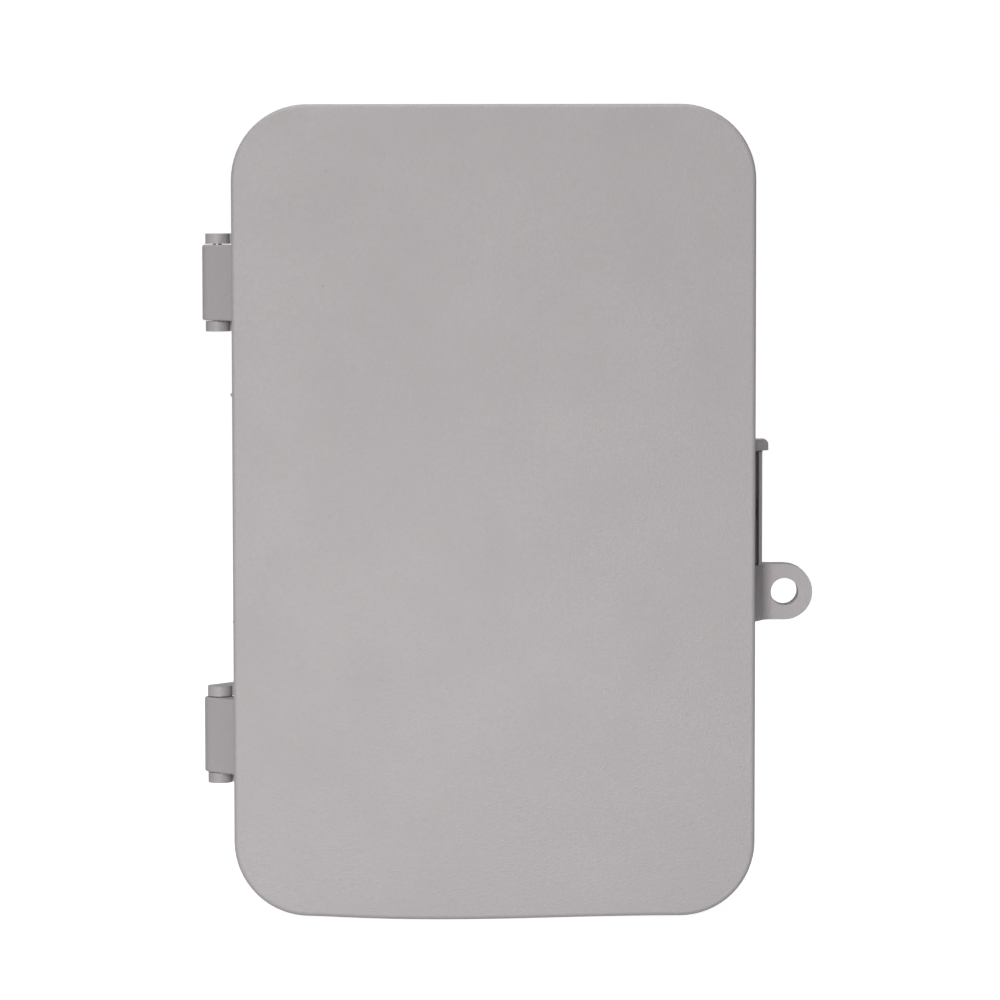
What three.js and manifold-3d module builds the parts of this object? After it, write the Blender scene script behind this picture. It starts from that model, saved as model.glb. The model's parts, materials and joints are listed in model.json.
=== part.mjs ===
// An outdoor irrigation controller: a plastic case that screws to a wall, a hinged door with a rocking
// latch and a padlock tab, and inside it a control panel, a terminal block and a covered transformer.
//
// Millimetres. The origin is the centre of the case's back face. +X is right and +Z is up for someone
// who stands in front of it, and +Y points into the wall. Angles are radians.
import * as THREE from "three";
import { mergeVertices } from "three/addons/utils/BufferGeometryUtils.js";
import Module from "manifold-3d";

// ---------------------------------------------------------------- driving dimensions

const GAP = 0.3; // between pieces that touch
const PAST = 1; // how far a cutting tool runs past the face that it opens
const ROOT = 0.5; // how far a piece that grows from a wall is sunk into it
const FINE = 4; // curve steps on the door's and the case's outlines
const COARSE = 2; // curve steps on small corners

const DOOR = {
  width: 180, height: 281.4, depth: 20, corner: 26, face: 2.6, skirt: 2.5, fillet: 1.5, bow: 1.3,
};
const DOOR_RIB = { outer: 6, inner: 7.4 }; // insets of the rib that the gasket sits against
const GASKET = { outer: 2.9, inner: 5.7 }; // insets
const CARD = { halfWidth: 68, halfHeight: 98, corner: 3, thickness: 0.6 };
const CASE = { width: 177, height: 278.4, depth: 94.7, corner: 24.5, wall: 3 };
const LIP = { inset: 3.7, thickness: 1.6, back: -90, front: -106 }; // the inset is from the door's outline
const PARTING = -(CASE.depth + GAP); // where the door's skirt ends
const DOOR_FRONT = PARTING - DOOR.depth;
const DOOR_INSIDE = DOOR_FRONT + DOOR.face;
const CASE_FRONT = -CASE.depth;
const CASE_INNER_BACK = -CASE.wall;

const HINGE = { x: -95.9, centres: [79.5, -78.1], knuckleHeight: 26.2, knuckleRadius: 5.3, webFront: -107 };
const HINGE_LUG = { radius: 4.2, height: 3.55, armBack: -79, boreDepth: 2.2 };
const PIN = { radius: 1.5, bore: 1.8 };
const NIB = { reach: 1.7, height: 2.8, depth: 2.4, centres: [40.1, -38.7] };

const TAB = { x: 101, z: -28.2, radius: 9.7, hole: 4.75, thickness: 4 };
const TAB_FRONT = PARTING - 0.2 - TAB.thickness;
const LUG_BACK = CASE_FRONT + TAB.thickness;
const CAP = { bottom: 21.2, top: 25.1, right: 95.2, corner: 1.9 };
const CAP_BACK = -96.5;
const RIB_FRONT = -108; // how far forward the cap and the tab's rib reach on the door's side
const LATCH = { x: 91.5, y: -101, inner: 91.3, outer: 92.9, front: -107.9, back: -84.2, hook: 90.2 };
const TRUNNION = { barrel: 1.1, radius: 0.75, socket: 1.05, length: 2.7 };
const CATCH = { front: -92.4, crest: -90, back: -88.6, bottom: -14, top: 16 };

const PANEL = { back: -88, front: -91, halfWidth: 82.6, bottom: -42, top: 132.6 };
const SCREW = { hole: 1.6, shank: 1.2, head: 3.2, headHeight: 2, length: 12 };
const PANEL_SCREWS = [[-79, 114], [79, 114], [-79, -32], [79, -32]]; // x, z
const DISPLAY = { z: 96, width: 90, height: 34, rim: 3 };
const DIAL = { z: 14, radius: 30, shaft: 3, hole: 4, socket: 3.4, back: -82.2 };
const KEY = { width: 22, height: 12, corner: 2.5, z: 62, flange: 1.2 };
const KEYS = { back: -53, minus: -18, plus: 18, next: 53 }; // x of each
const ROUND_KEY = { radius: 8, x: -56 };
const ROUND_KEYS = { manual: 32, start: -6 }; // z of each
const KEY_DEPTHS = { front: -92.8, flangeFront: -87.6, flangeBack: -86.4, stemEnd: -85, contact: -83.6 };
const SENSOR = { x: 54, z: 32, slotWidth: 16, slotHeight: 6, travel: 5, knob: 6, flange: 12.6 };
const CELL = { x: 54, z: -6, radius: 10, thickness: 3.1, recess: 0.8 };
const TRAY = { halfWidth: 70, bottom: -34, top: 124, back: -58, wall: 2 };
const BOARD = { halfWidth: 60, bottom: -28, top: 118, back: -77.4, front: -79 };
const BOARD_POSTS = [[-56, -24], [56, -24], [-56, 112], [56, 112]]; // x, z

const SHELF = { left: -74, right: 24, bottom: -84, top: -60, front: -46, thickness: 3 };
const TERMINALS = { count: 10, left: -72, right: 22, bottom: -80, top: -64, front: -60.3 };
const TERMINAL_PITCH = (TERMINALS.right - TERMINALS.left) / TERMINALS.count;
const TERMINAL_Z = (TERMINALS.top + TERMINALS.bottom) / 2 + 1.5;
const TERMINAL_WELL = { radius: 3.2, depth: 2.6, entry: 4 };
const LEAD_RADIUS = 1.1;
const RIBBON = { left: -38, width: 16, thickness: 1, entry: -68.5 }; // entry is its y at the tray

const MAINS = { left: 30, right: 83, bottom: -133, top: -46, front: -78, wall: 2 };
const MAINS_SCREW = [38, -125]; // x, z
const VENT = { left: 44, right: 74, top: -62, height: 2, pitch: 5, count: 5 };
const CORE = { x: 57, y: -26, z: -84, width: 42, height: 50, thickness: 18, leg: 14, window: 7, yoke: 9 };
const COIL = { halfDepth: 17, corner: 5 };
const STRAP = { sheet: 1.2, foot: 8 };

const CONDUIT = { x: 48, y: -40, hole: 11.1 };
const WIRE_ENTRY = { x: -40, y: -42, hole: 14.3, bore: 10 };
const KEYHOLE = { x: 0, z: 116, head: 5, slot: 2.75, rise: 9 };
const WALL_SLOTS = [[-66, -112], [14, -112]]; // x, z
const WALL_SLOT = { radius: 3, length: 10 };

// ---------------------------------------------------------------- solids

const wasm = await Module();
wasm.setup();

const X = new THREE.Vector3(1, 0, 0);
const Y = new THREE.Vector3(0, 1, 0);
const Z = new THREE.Vector3(0, 0, 1);
const QUARTER = Math.PI / 2;

// A closed geometry as a solid that can be joined and cut.
function solidOf(geometry) {
  const bare = new THREE.BufferGeometry().setAttribute("position", geometry.getAttribute("position"));
  bare.setIndex(geometry.index);
  const merged = mergeVertices(bare, 1e-4);
  const corners = merged.index.array;
  const kept = [];
  for (let i = 0; i < corners.length; i += 3) {
    const [a, b, c] = corners.slice(i, i + 3);
    if (a !== b && b !== c && c !== a) kept.push(a, b, c);
  }
  const vertProperties = merged.attributes.position.array;
  const triVerts = new Uint32Array(kept);
  return new wasm.Manifold(new wasm.Mesh({ numProp: 3, vertProperties, triVerts }));
}

const join = (first, ...others) => others.reduce((sum, other) => sum.add(other), first);
const cut = (body, ...tools) => tools.reduce((left, tool) => left.subtract(tool), body);

// A block from its limits along each axis.
function block([x0, x1], [y0, y1], [z0, z1]) {
  const geometry = new THREE.BoxGeometry(x1 - x0, y1 - y0, z1 - z0);
  return solidOf(geometry.translate((x0 + x1) / 2, (y0 + y1) / 2, (z0 + z1) / 2));
}

// Round rods along each axis, from one coordinate to another.
function rodAlongY(radius, x, z, from, to, sides = 24) {
  const geometry = new THREE.CylinderGeometry(radius, radius, to - from, sides);
  return solidOf(geometry.translate(x, (from + to) / 2, z));
}

function rodAlongZ(radius, x, y, from, to, sides = 24) {
  const geometry = new THREE.CylinderGeometry(radius, radius, to - from, sides);
  return solidOf(geometry.rotateX(QUARTER).translate(x, y, (from + to) / 2));
}

// A profile of [radius, height] points turned about an upright axis. It starts and ends on the axis or
// closes on itself, and runs up its outer side.
function turned(profile, sides = 24) {
  const points = profile.map(([radius, height]) => new THREE.Vector2(radius, height));
  return new THREE.LatheGeometry(points, sides);
}

// Turns a front-view drawing (x, z) so that its thickness runs forwards.
const frontwards = new THREE.Matrix4().makeBasis(X, Z, Y.clone().negate());

// A front-view outline (x, z) given thickness from its back face forward to its front face.
function faceOn(outline, back, front, curveSegments = COARSE) {
  const options = { depth: back - front, bevelEnabled: false, curveSegments };
  const geometry = new THREE.ExtrudeGeometry(outline, options);
  return solidOf(geometry.applyMatrix4(frontwards).translate(0, back, 0));
}

// A plan-view outline (x, y) raised from one height to another.
function upright(outline, from, to, curveSegments = COARSE) {
  const options = { depth: to - from, bevelEnabled: false, curveSegments };
  const geometry = new THREE.ExtrudeGeometry(outline, options);
  return solidOf(geometry.translate(0, 0, from));
}

const polygon = (points) => new THREE.Shape(points.map(([x, y]) => new THREE.Vector2(x, y)));

// A rectangle with round corners. The radii run from the lower left corner anticlockwise, or are one number.
function roundedRect([left, right], [bottom, top], radii) {
  const [r0, r1, r2, r3] = Array.isArray(radii) ? radii : [radii, radii, radii, radii];
  const shape = new THREE.Shape();
  const corner = (x, y, radius, start) => {
    if (radius > 0) shape.absarc(x, y, radius, start, start + QUARTER);
    else shape.lineTo(x, y);
  };
  shape.moveTo(left + r0, bottom);
  corner(right - r1, bottom + r1, r1, -QUARTER);
  corner(right - r2, top - r2, r2, 0);
  corner(left + r3, top - r3, r3, QUARTER);
  corner(left + r0, bottom + r0, r0, 2 * QUARTER);
  return shape;
}

// The point where a line from outside touches a circle, on its left (turn 1) or right (turn -1) side.
function tangentPoint([cx, cy], radius, [px, py], turn) {
  const reach = new THREE.Vector2(px - cx, py - cy);
  const angle = reach.angle() + turn * Math.acos(radius / reach.length());
  return [cx + radius * Math.cos(angle), cy + radius * Math.sin(angle)];
}

// ---------------------------------------------------------------- materials

const plastic = (color, roughness) => new THREE.MeshStandardMaterial({ color, roughness, metalness: 0 });
const metal = (color, roughness) => new THREE.MeshStandardMaterial({ color, roughness, metalness: 1 });

const MATERIALS = {
  enclosure: plastic(0xb1adae, 0.65),
  panel: plastic(0xc9c8c3, 0.55),
  darkPlastic: plastic(0x33373a, 0.5),
  key: plastic(0x44494d, 0.6),
  startKey: plastic(0x2f7d4f, 0.6),
  terminal: plastic(0x2e7a4a, 0.45),
  mains: plastic(0x8f9294, 0.6),
  rubber: plastic(0x1d1d1e, 0.85),
  board: plastic(0x1f5a3a, 0.4),
  display: plastic(0x8b9a7b, 0.3),
  window: plastic(0xdfe6e6, 0.08),
  card: plastic(0xf2f1ec, 0.8),
  winding: plastic(0xa9622c, 0.45),
  ribbon: plastic(0x9a9c9e, 0.6),
  lead: plastic(0xd9b92c, 0.5),
  steel: metal(0xc4c5c4, 0.35),
  core: metal(0x6f7274, 0.5),
};

const controller = new THREE.Group();

// Adds a named mesh made from a solid.
function add(name, solid, material) {
  const made = solid.getMesh();
  const positions = new Float32Array(made.numVert * 3);
  for (let i = 0; i < made.numVert; i++) {
    positions.set(made.vertProperties.subarray(i * made.numProp, i * made.numProp + 3), i * 3);
  }
  const geometry = new THREE.BufferGeometry();
  geometry.setAttribute("position", new THREE.BufferAttribute(positions, 3));
  geometry.setIndex(new THREE.BufferAttribute(made.triVerts, 1));
  geometry.computeVertexNormals();
  const mesh = new THREE.Mesh(geometry, MATERIALS[material]);
  mesh.name = name;
  controller.add(mesh);
}

// ---------------------------------------------------------------- outlines shared by the door and the case

// The door's outline, drawn in by an inset. Its lower edge bows down a little.
function doorOutline(inset) {
  const halfWidth = DOOR.width / 2 - inset;
  const top = DOOR.height / 2 - inset;
  const bottom = -DOOR.height / 2 + DOOR.bow + inset;
  const radius = DOOR.corner - inset;
  const shape = new THREE.Shape();
  shape.moveTo(-halfWidth + radius, bottom);
  shape.quadraticCurveTo(0, bottom - 2 * DOOR.bow, halfWidth - radius, bottom);
  shape.absarc(halfWidth - radius, bottom + radius, radius, -QUARTER, 0);
  shape.absarc(halfWidth - radius, top - radius, radius, 0, QUARTER);
  shape.absarc(-halfWidth + radius, top - radius, radius, QUARTER, 2 * QUARTER);
  shape.absarc(-halfWidth + radius, bottom + radius, radius, 2 * QUARTER, 3 * QUARTER);
  return shape;
}

function caseOutline(inset) {
  const halfWidth = CASE.width / 2 - inset;
  const halfHeight = CASE.height / 2 - inset;
  return roundedRect([-halfWidth, halfWidth], [-halfHeight, halfHeight], CASE.corner - inset);
}

// The padlock tab's front-view outline, from its root to its round end.
function tabOutline(root) {
  const shape = new THREE.Shape();
  shape.moveTo(root, TAB.z - TAB.radius);
  shape.absarc(TAB.x, TAB.z, TAB.radius, -QUARTER, QUARTER);
  shape.lineTo(root, TAB.z + TAB.radius);
  return shape;
}

const padlockHole = rodAlongY(TAB.hole, TAB.x, TAB.z, TAB_FRONT - PAST, LUG_BACK + PAST);

// ---------------------------------------------------------------- door

// A hinge knuckle: a barrel on the hinge axis and a web whose front slants forward to the door's side.
function knuckle(z) {
  const half = HINGE.knuckleHeight / 2;
  const root = [-DOOR.width / 2 + ROOT, HINGE.webFront];
  const touch = tangentPoint([HINGE.x, PARTING], HINGE.knuckleRadius, root, -1);
  const web = polygon([touch, root, [root[0], PARTING], [HINGE.x, PARTING]]);
  return join(
    rodAlongZ(HINGE.knuckleRadius, HINGE.x, PARTING, z - half, z + half),
    upright(web, z - half, z + half),
  );
}

// A wedge-shaped nib on the skirt's rear edge, on the hinge side.
function nib(z) {
  const side = -DOOR.width / 2;
  const inside = side + ROOT;
  const wedge = polygon([
    [inside, z + NIB.height / 2],
    [side, z + NIB.height / 2],
    [side - NIB.reach, z + NIB.height / 4],
    [side, z - NIB.height / 2],
    [inside, z - NIB.height / 2],
  ]);
  return faceOn(wedge, PARTING, PARTING - NIB.depth);
}

// The cap that carries the latch's upper trunnion. Its front slants back from the door's side.
function latchCap() {
  const side = DOOR.width / 2;
  const plan = polygon([
    [side - ROOT, CAP_BACK],
    [CAP.right, CAP_BACK],
    [CAP.right, CAP_BACK - TAB.thickness],
    [side, RIB_FRONT],
    [side - ROOT, RIB_FRONT],
  ]);
  const front = roundedRect([side - PAST, CAP.right], [CAP.bottom, CAP.top], [0, 0, CAP.corner, 0]);
  return upright(plan, CAP.bottom, CAP.top).intersect(faceOn(front, CAP_BACK + PAST, RIB_FRONT - PAST));
}

// The rib along the padlock tab's root. It carries the latch's lower trunnion and sweeps into the tab's face.
function tabRib() {
  const side = DOOR.width / 2;
  const plan = new THREE.Shape();
  plan.moveTo(side - ROOT, TAB_FRONT + 1.2);
  plan.lineTo(side + 6.2, TAB_FRONT + 1.2);
  plan.lineTo(side + 6.2, TAB_FRONT);
  plan.quadraticCurveTo(side + 3.5, TAB_FRONT - 0.3, side + 2.8, TAB_FRONT - 3.2);
  plan.lineTo(side, RIB_FRONT);
  plan.lineTo(side - ROOT, RIB_FRONT);
  return upright(plan, TAB.z - TAB.radius, TAB.z + TAB.radius, FINE);
}

function doorShell() {
  const side = DOOR.width / 2;
  const behind = 3; // the filleted blank runs this far behind the parting plane, and is cut there
  const blank = new THREE.ExtrudeGeometry(doorOutline(0), {
    depth: DOOR.depth + behind - DOOR.fillet,
    bevelThickness: DOOR.fillet,
    bevelSize: DOOR.fillet,
    bevelOffset: -DOOR.fillet,
    bevelSegments: 2,
    curveSegments: FINE,
  });
  const body = solidOf(blank.applyMatrix4(frontwards).translate(0, PARTING + behind, 0));
  const pan = cut(
    body,
    block([-DOOR.width, DOOR.width], [PARTING, PARTING + 2 * behind], [-DOOR.height, DOOR.height]),
    faceOn(doorOutline(DOOR.skirt), PARTING + PAST, DOOR_INSIDE, FINE),
  );
  const rib = cut(
    faceOn(doorOutline(DOOR_RIB.outer), LIP.front - GAP, DOOR_INSIDE - PAST, FINE),
    faceOn(doorOutline(DOOR_RIB.inner), LIP.front + PAST, DOOR_INSIDE - 2 * PAST, FINE),
  );
  const joined = join(
    pan,
    rib,
    ...HINGE.centres.map(knuckle),
    ...NIB.centres.map(nib),
    latchCap(),
    tabRib(),
    faceOn(tabOutline(side - ROOT), TAB_FRONT + TAB.thickness, TAB_FRONT, 6),
  );
  const ribTop = TAB.z + TAB.radius;
  return cut(
    joined,
    padlockHole,
    rodAlongZ(PIN.bore, HINGE.x, PARTING, -DOOR.height / 2, DOOR.height / 2, 16),
    rodAlongZ(TRUNNION.socket, LATCH.x, LATCH.y, CAP.bottom - PAST, CAP.bottom + TRUNNION.length, 12),
    rodAlongZ(TRUNNION.socket, LATCH.x, LATCH.y, ribTop - TRUNNION.length, ribTop + PAST, 12),
  );
}

function doorGasket() {
  return cut(
    faceOn(doorOutline(GASKET.outer), LIP.front - 0.4, DOOR_INSIDE + GAP, FINE),
    faceOn(doorOutline(GASKET.inner), LIP.front + PAST, DOOR_INSIDE - PAST, FINE),
  );
}

// The printed card on the door's inside.
const guideCard = faceOn(
  roundedRect([-CARD.halfWidth, CARD.halfWidth], [-CARD.halfHeight, CARD.halfHeight], CARD.corner),
  DOOR_INSIDE + GAP + CARD.thickness,
  DOOR_INSIDE + GAP,
);

add("door_shell", doorShell(), "enclosure");
add("door_gasket", doorGasket(), "rubber");
add("guide_card", guideCard, "card");

// ---------------------------------------------------------------- latch

// An upright bar that rocks on two trunnions: its front edge is pressed in and the hook behind swings out.
function latchLever() {
  const bottom = TAB.z + TAB.radius + GAP;
  const top = CAP.bottom - GAP;
  const hookFront = CATCH.back + 0.7;
  const plan = polygon([
    [LATCH.inner, hookFront],
    [LATCH.inner, LATCH.front + 0.5],
    [LATCH.inner + 0.4, LATCH.front],
    [LATCH.outer, LATCH.front + 3.3],
    [LATCH.outer, LATCH.back],
    [LATCH.inner + 0.4, LATCH.back],
    [LATCH.hook, LATCH.back - 2.4],
    [LATCH.hook, hookFront],
  ]);
  return join(
    upright(plan, bottom, top),
    rodAlongZ(TRUNNION.barrel, LATCH.x, LATCH.y, bottom, top, 12),
    rodAlongZ(TRUNNION.radius, LATCH.x, LATCH.y, bottom - 2.4, top + 2.7, 12),
  );
}

// A bowed leaf between the bar's front and the door's side.
const latchSpring = block([90.3, 91.0], [-106, -103.2], [-8, 10]);

add("latch_lever", latchLever(), "enclosure");
add("latch_spring", latchSpring, "steel");

// ---------------------------------------------------------------- case

// A hinge lug: a short boss on the hinge axis and an arm back to the case's side.
function hingeLug(from, to) {
  const root = [-CASE.width / 2 + ROOT, HINGE_LUG.armBack];
  const touch = tangentPoint([HINGE.x, PARTING], HINGE_LUG.radius, root, 1);
  const arm = polygon([[HINGE.x, CASE_FRONT], [root[0], CASE_FRONT], root, touch]);
  return join(rodAlongZ(HINGE_LUG.radius, HINGE.x, PARTING, from, to, 20), upright(arm, from, to));
}

// The lugs above and below one knuckle, the upper with a blind bore so that its end stays plain.
function hingeLugs(z) {
  const near = HINGE.knuckleHeight / 2 + GAP;
  const far = near + HINGE_LUG.height;
  const blindEnd = z + near + HINGE_LUG.boreDepth;
  return cut(
    join(hingeLug(z + near, z + far), hingeLug(z - far, z - near)),
    rodAlongZ(PIN.bore, HINGE.x, PARTING, z - far - PAST, blindEnd, 16),
  );
}

// A hinge pin, a little short of both ends of its bore.
function hingePin(z) {
  const near = HINGE.knuckleHeight / 2 + GAP;
  const bottom = z - near - HINGE_LUG.height + GAP;
  return rodAlongZ(PIN.radius, HINGE.x, PARTING, bottom, z + near + HINGE_LUG.boreDepth - GAP, 16);
}

// The tab behind the door's tab, with a web to the case's side.
function rearTab() {
  const side = CASE.width / 2 - ROOT;
  const web = polygon([[side, LUG_BACK - ROOT], [side + 7.5, LUG_BACK - ROOT], [side, LUG_BACK + 8.7]]);
  return join(
    faceOn(tabOutline(side), LUG_BACK, CASE_FRONT, 6),
    upright(web, TAB.z - 1.5, TAB.z + 1.5),
  );
}

// A ramp that the latch's hook rides over and sits behind.
function latchCatch() {
  const side = CASE.width / 2 - ROOT;
  const crest = LATCH.hook - GAP;
  const ramp = polygon([[side, CATCH.front], [crest, CATCH.crest], [crest, CATCH.back], [side, CATCH.back]]);
  return upright(ramp, CATCH.bottom, CATCH.top);
}

function screwHole([x, z], front, depth) {
  return rodAlongY(SCREW.hole, x, z, front - PAST, front + depth, 8);
}

// A slot in the back wall, through which a wall screw goes.
function wallSlot([x, z]) {
  const { radius, length } = WALL_SLOT;
  const outline = roundedRect([x - radius, x + radius], [z - length / 2, z + length / 2], radius);
  return faceOn(outline, PAST, CASE_INNER_BACK - PAST);
}

// The keyhole that hangs the case on a screw: a hole for the head and a slot above it.
function keyhole() {
  const { x, z, head, slot, rise } = KEYHOLE;
  const corner = slot - 0.05;
  const slotOutline = roundedRect([x - slot, x + slot], [z, z + rise], [0, 0, corner, corner]);
  return join(
    rodAlongY(head, x, z, CASE_INNER_BACK - PAST, PAST),
    faceOn(slotOutline, PAST, CASE_INNER_BACK - PAST),
  );
}

function caseShell() {
  const tub = cut(
    faceOn(caseOutline(0), 0, CASE_FRONT, FINE),
    faceOn(caseOutline(CASE.wall), CASE_INNER_BACK, CASE_FRONT - PAST, FINE),
  );
  const lip = cut(
    faceOn(doorOutline(LIP.inset), LIP.back, LIP.front, FINE),
    faceOn(doorOutline(LIP.inset + LIP.thickness), LIP.back + PAST, LIP.front - PAST, FINE),
  );
  const inTheBack = CASE_INNER_BACK + PAST;
  const panelBosses = PANEL_SCREWS.map(([x, z]) => {
    const across = [Math.abs(x) - 6, CASE.width / 2 - 2].map((reach) => Math.sign(x) * reach);
    return block(across.sort((a, b) => a - b), [PANEL.back + GAP, inTheBack], [z - 6, z + 6]);
  });
  const [mx, mz] = MAINS_SCREW;
  const mainsBoss = block([mx - 5, mx + 5], [MAINS.front + MAINS.wall + GAP, inTheBack], [mz - 5, mz + 5]);
  const floor = -CASE.height / 2;
  const joined = join(
    tub,
    lip,
    ...panelBosses,
    mainsBoss,
    ...HINGE.centres.map(hingeLugs),
    rearTab(),
    latchCatch(),
  );
  return cut(
    joined,
    padlockHole,
    ...PANEL_SCREWS.map((place) => screwHole(place, PANEL.back, 11)),
    screwHole(MAINS_SCREW, MAINS.front, 14),
    keyhole(),
    ...WALL_SLOTS.map(wallSlot),
    rodAlongZ(CONDUIT.hole, CONDUIT.x, CONDUIT.y, floor - PAST, floor + CASE.wall + PAST),
    rodAlongZ(WIRE_ENTRY.hole, WIRE_ENTRY.x, WIRE_ENTRY.y, floor - PAST, floor + CASE.wall + PAST),
  );
}

// The blanking plug in the mains conduit hole: a flange outside, a neck, and a barb inside.
function conduitPlug() {
  const floor = -CASE.height / 2;
  const profile = turned([
    [0, floor - 1.5],
    [13.5, floor - 1.5],
    [13.5, floor - GAP],
    [CONDUIT.hole - GAP, floor - GAP],
    [CONDUIT.hole - GAP, floor + CASE.wall + GAP],
    [12, floor + CASE.wall + GAP],
    [10.6, floor + CASE.wall + 2.3],
    [0, floor + CASE.wall + 2.3],
  ]);
  return solidOf(profile.rotateX(QUARTER).translate(CONDUIT.x, CONDUIT.y, 0));
}

// The rubber grommet that valve wires pass through.
function wireGrommet() {
  const floor = -CASE.height / 2;
  const profile = turned([
    [WIRE_ENTRY.bore, floor - 1.5],
    [17, floor - 1.5],
    [17, floor - GAP],
    [WIRE_ENTRY.hole - GAP, floor - GAP],
    [WIRE_ENTRY.hole - GAP, floor + CASE.wall + GAP],
    [16.6, floor + CASE.wall + GAP],
    [16.6, floor + CASE.wall + 2],
    [WIRE_ENTRY.bore, floor + CASE.wall + 2],
    [WIRE_ENTRY.bore, floor - 1.5],
  ]);
  return solidOf(profile.rotateX(QUARTER).translate(WIRE_ENTRY.x, WIRE_ENTRY.y, 0));
}

// A screw driven in from the front: a round head just off the given face, and a shank.
function screw([x, z], face, { length, head, headHeight, shank }) {
  const seat = face - GAP;
  return join(
    rodAlongY(head, x, z, seat - headHeight, seat, 12),
    rodAlongY(shank, x, z, seat - ROOT, seat + length, 8),
  );
}

add("case_shell", caseShell(), "enclosure");
add("upper_hinge_pin", hingePin(HINGE.centres[0]), "steel");
add("lower_hinge_pin", hingePin(HINGE.centres[1]), "steel");
add("conduit_plug", conduitPlug(), "darkPlastic");
add("wire_grommet", wireGrommet(), "rubber");

// ---------------------------------------------------------------- control panel

const keyOutline = (x, margin) => roundedRect(
  [x - KEY.width / 2 - margin, x + KEY.width / 2 + margin],
  [KEY.z - KEY.height / 2 - margin, KEY.z + KEY.height / 2 + margin],
  KEY.corner + margin,
);

// The display's front-view outline, grown by a margin.
const displayOutline = (margin, corner) => roundedRect(
  [-DISPLAY.width / 2 - margin, DISPLAY.width / 2 + margin],
  [DISPLAY.z - DISPLAY.height / 2 - margin, DISPLAY.z + DISPLAY.height / 2 + margin],
  corner,
);

// A disc on a round key's axis.
const roundKeyDisc = (radius, z, front, back) => rodAlongY(radius, ROUND_KEY.x, z, front, back, 20);

function panelFascia() {
  const sides = [-PANEL.halfWidth, PANEL.halfWidth];
  const plateOutline = roundedRect(sides, [PANEL.bottom, PANEL.top], [3, 3, 18, 18]);
  const plate = join(
    faceOn(plateOutline, PANEL.back, PANEL.front),
    rodAlongY(CELL.radius + 2.3, CELL.x, CELL.z, PANEL.back - ROOT, PANEL.back + 2.6),
  );
  const through = [PANEL.back + PAST, PANEL.front - PAST];
  const [from, to] = [PANEL.front - PAST, PANEL.back + PAST];
  return cut(
    plate,
    faceOn(displayOutline(0, 2), ...through),
    faceOn(displayOutline(DISPLAY.rim, 3), PANEL.front + 1.6, PANEL.front - PAST),
    ...Object.values(KEYS).map((x) => faceOn(keyOutline(x, GAP), ...through)),
    ...Object.values(ROUND_KEYS).map((z) => roundKeyDisc(ROUND_KEY.radius + GAP, z, from, to)),
    rodAlongY(DIAL.hole, 0, DIAL.z, from, to, 16),
    block(
      [SENSOR.x - SENSOR.slotWidth / 2, SENSOR.x + SENSOR.slotWidth / 2],
      [from, to],
      [SENSOR.z - SENSOR.slotHeight / 2, SENSOR.z + SENSOR.slotHeight / 2],
    ),
    rodAlongY(CELL.radius + GAP, CELL.x, CELL.z, from, PANEL.back + CELL.recess),
    ...PANEL_SCREWS.map((place) => screwHole(place, PANEL.front, to - PANEL.front)),
  );
}

// The tray that closes the panel's back, with posts for the board and a slot for the ribbon cable.
function panelBackCover() {
  const { halfWidth, bottom, top, back, wall } = TRAY;
  const inner = halfWidth - wall;
  const outside = roundedRect([-halfWidth, halfWidth], [bottom, top], 6);
  const inside = roundedRect([-inner, inner], [bottom + wall, top - wall], 4);
  const slot = [RIBBON.left - 0.8, RIBBON.left + RIBBON.width + 0.8];
  const tray = cut(
    faceOn(outside, back, PANEL.back + GAP),
    faceOn(inside, back - wall, PANEL.back - PAST),
    block(slot, [RIBBON.entry - 1.5, RIBBON.entry + 1.5], [bottom - PAST, bottom + wall + PAST]),
  );
  const posts = BOARD_POSTS.map(([x, z]) => rodAlongY(3, x, z, BOARD.back + GAP, back - ROOT, 12));
  return join(tray, ...posts);
}

// The circuit board with its push contacts, the slide switch's housing and its larger components.
function controlBoard() {
  const sunk = BOARD.front + ROOT;
  const contact = ([x, z]) => block([x - 3, x + 3], [KEY_DEPTHS.contact, sunk], [z - 3, z + 3]);
  const contacts = [
    ...Object.values(KEYS).map((x) => [x, KEY.z]),
    ...Object.values(ROUND_KEYS).map((z) => [ROUND_KEY.x, z]),
  ];
  return join(
    block([-BOARD.halfWidth, BOARD.halfWidth], [BOARD.front, BOARD.back], [BOARD.bottom, BOARD.top]),
    ...contacts.map(contact),
    block([SENSOR.x - 10, SENSOR.x + 6], [-85.9, sunk], [SENSOR.z - 5, SENSOR.z + 5]),
    block([-34, -18], [-81, sunk], [-22, -6]),
    block([14, 36], [-81.4, sunk], [-24, -14]),
    rodAlongY(5, -8, -20, -86.5, sunk, 16),
  );
}

const displayModule = faceOn(displayOutline(4, 1), BOARD.front - GAP, PANEL.back + GAP);
const displayWindow = faceOn(displayOutline(DISPLAY.rim - GAP, 2.7), PANEL.front + 1.3, PANEL.front + 0.1);

// The housing that the dial's shaft turns in.
const dialSwitch = cut(
  block([-8, 8], [PANEL.back + 0.7, BOARD.front - GAP], [DIAL.z - 8, DIAL.z + 8]),
  rodAlongY(DIAL.socket, 0, DIAL.z, PANEL.back - PAST, DIAL.back + 0.6, 16),
);

// The program dial: a shaft, a broad skirt, a hub and a bar to grip.
function programDial() {
  const skirtBack = -PANEL.front + 0.4;
  const profile = turned([
    [0, -DIAL.back],
    [DIAL.shaft, -DIAL.back],
    [DIAL.shaft, skirtBack],
    [DIAL.radius, skirtBack],
    [DIAL.radius, 93.6],
    [28, 94.6],
    [24.5, 94.9],
    [23, 100.6],
    [21.6, 101.6],
    [0, 101.6],
  ], 36);
  const body = solidOf(profile.rotateX(2 * QUARTER).translate(0, 0, DIAL.z));
  return join(body, block([-3.4, 3.4], [-104.2, -101], [DIAL.z - 19, DIAL.z + 21]));
}

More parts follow.
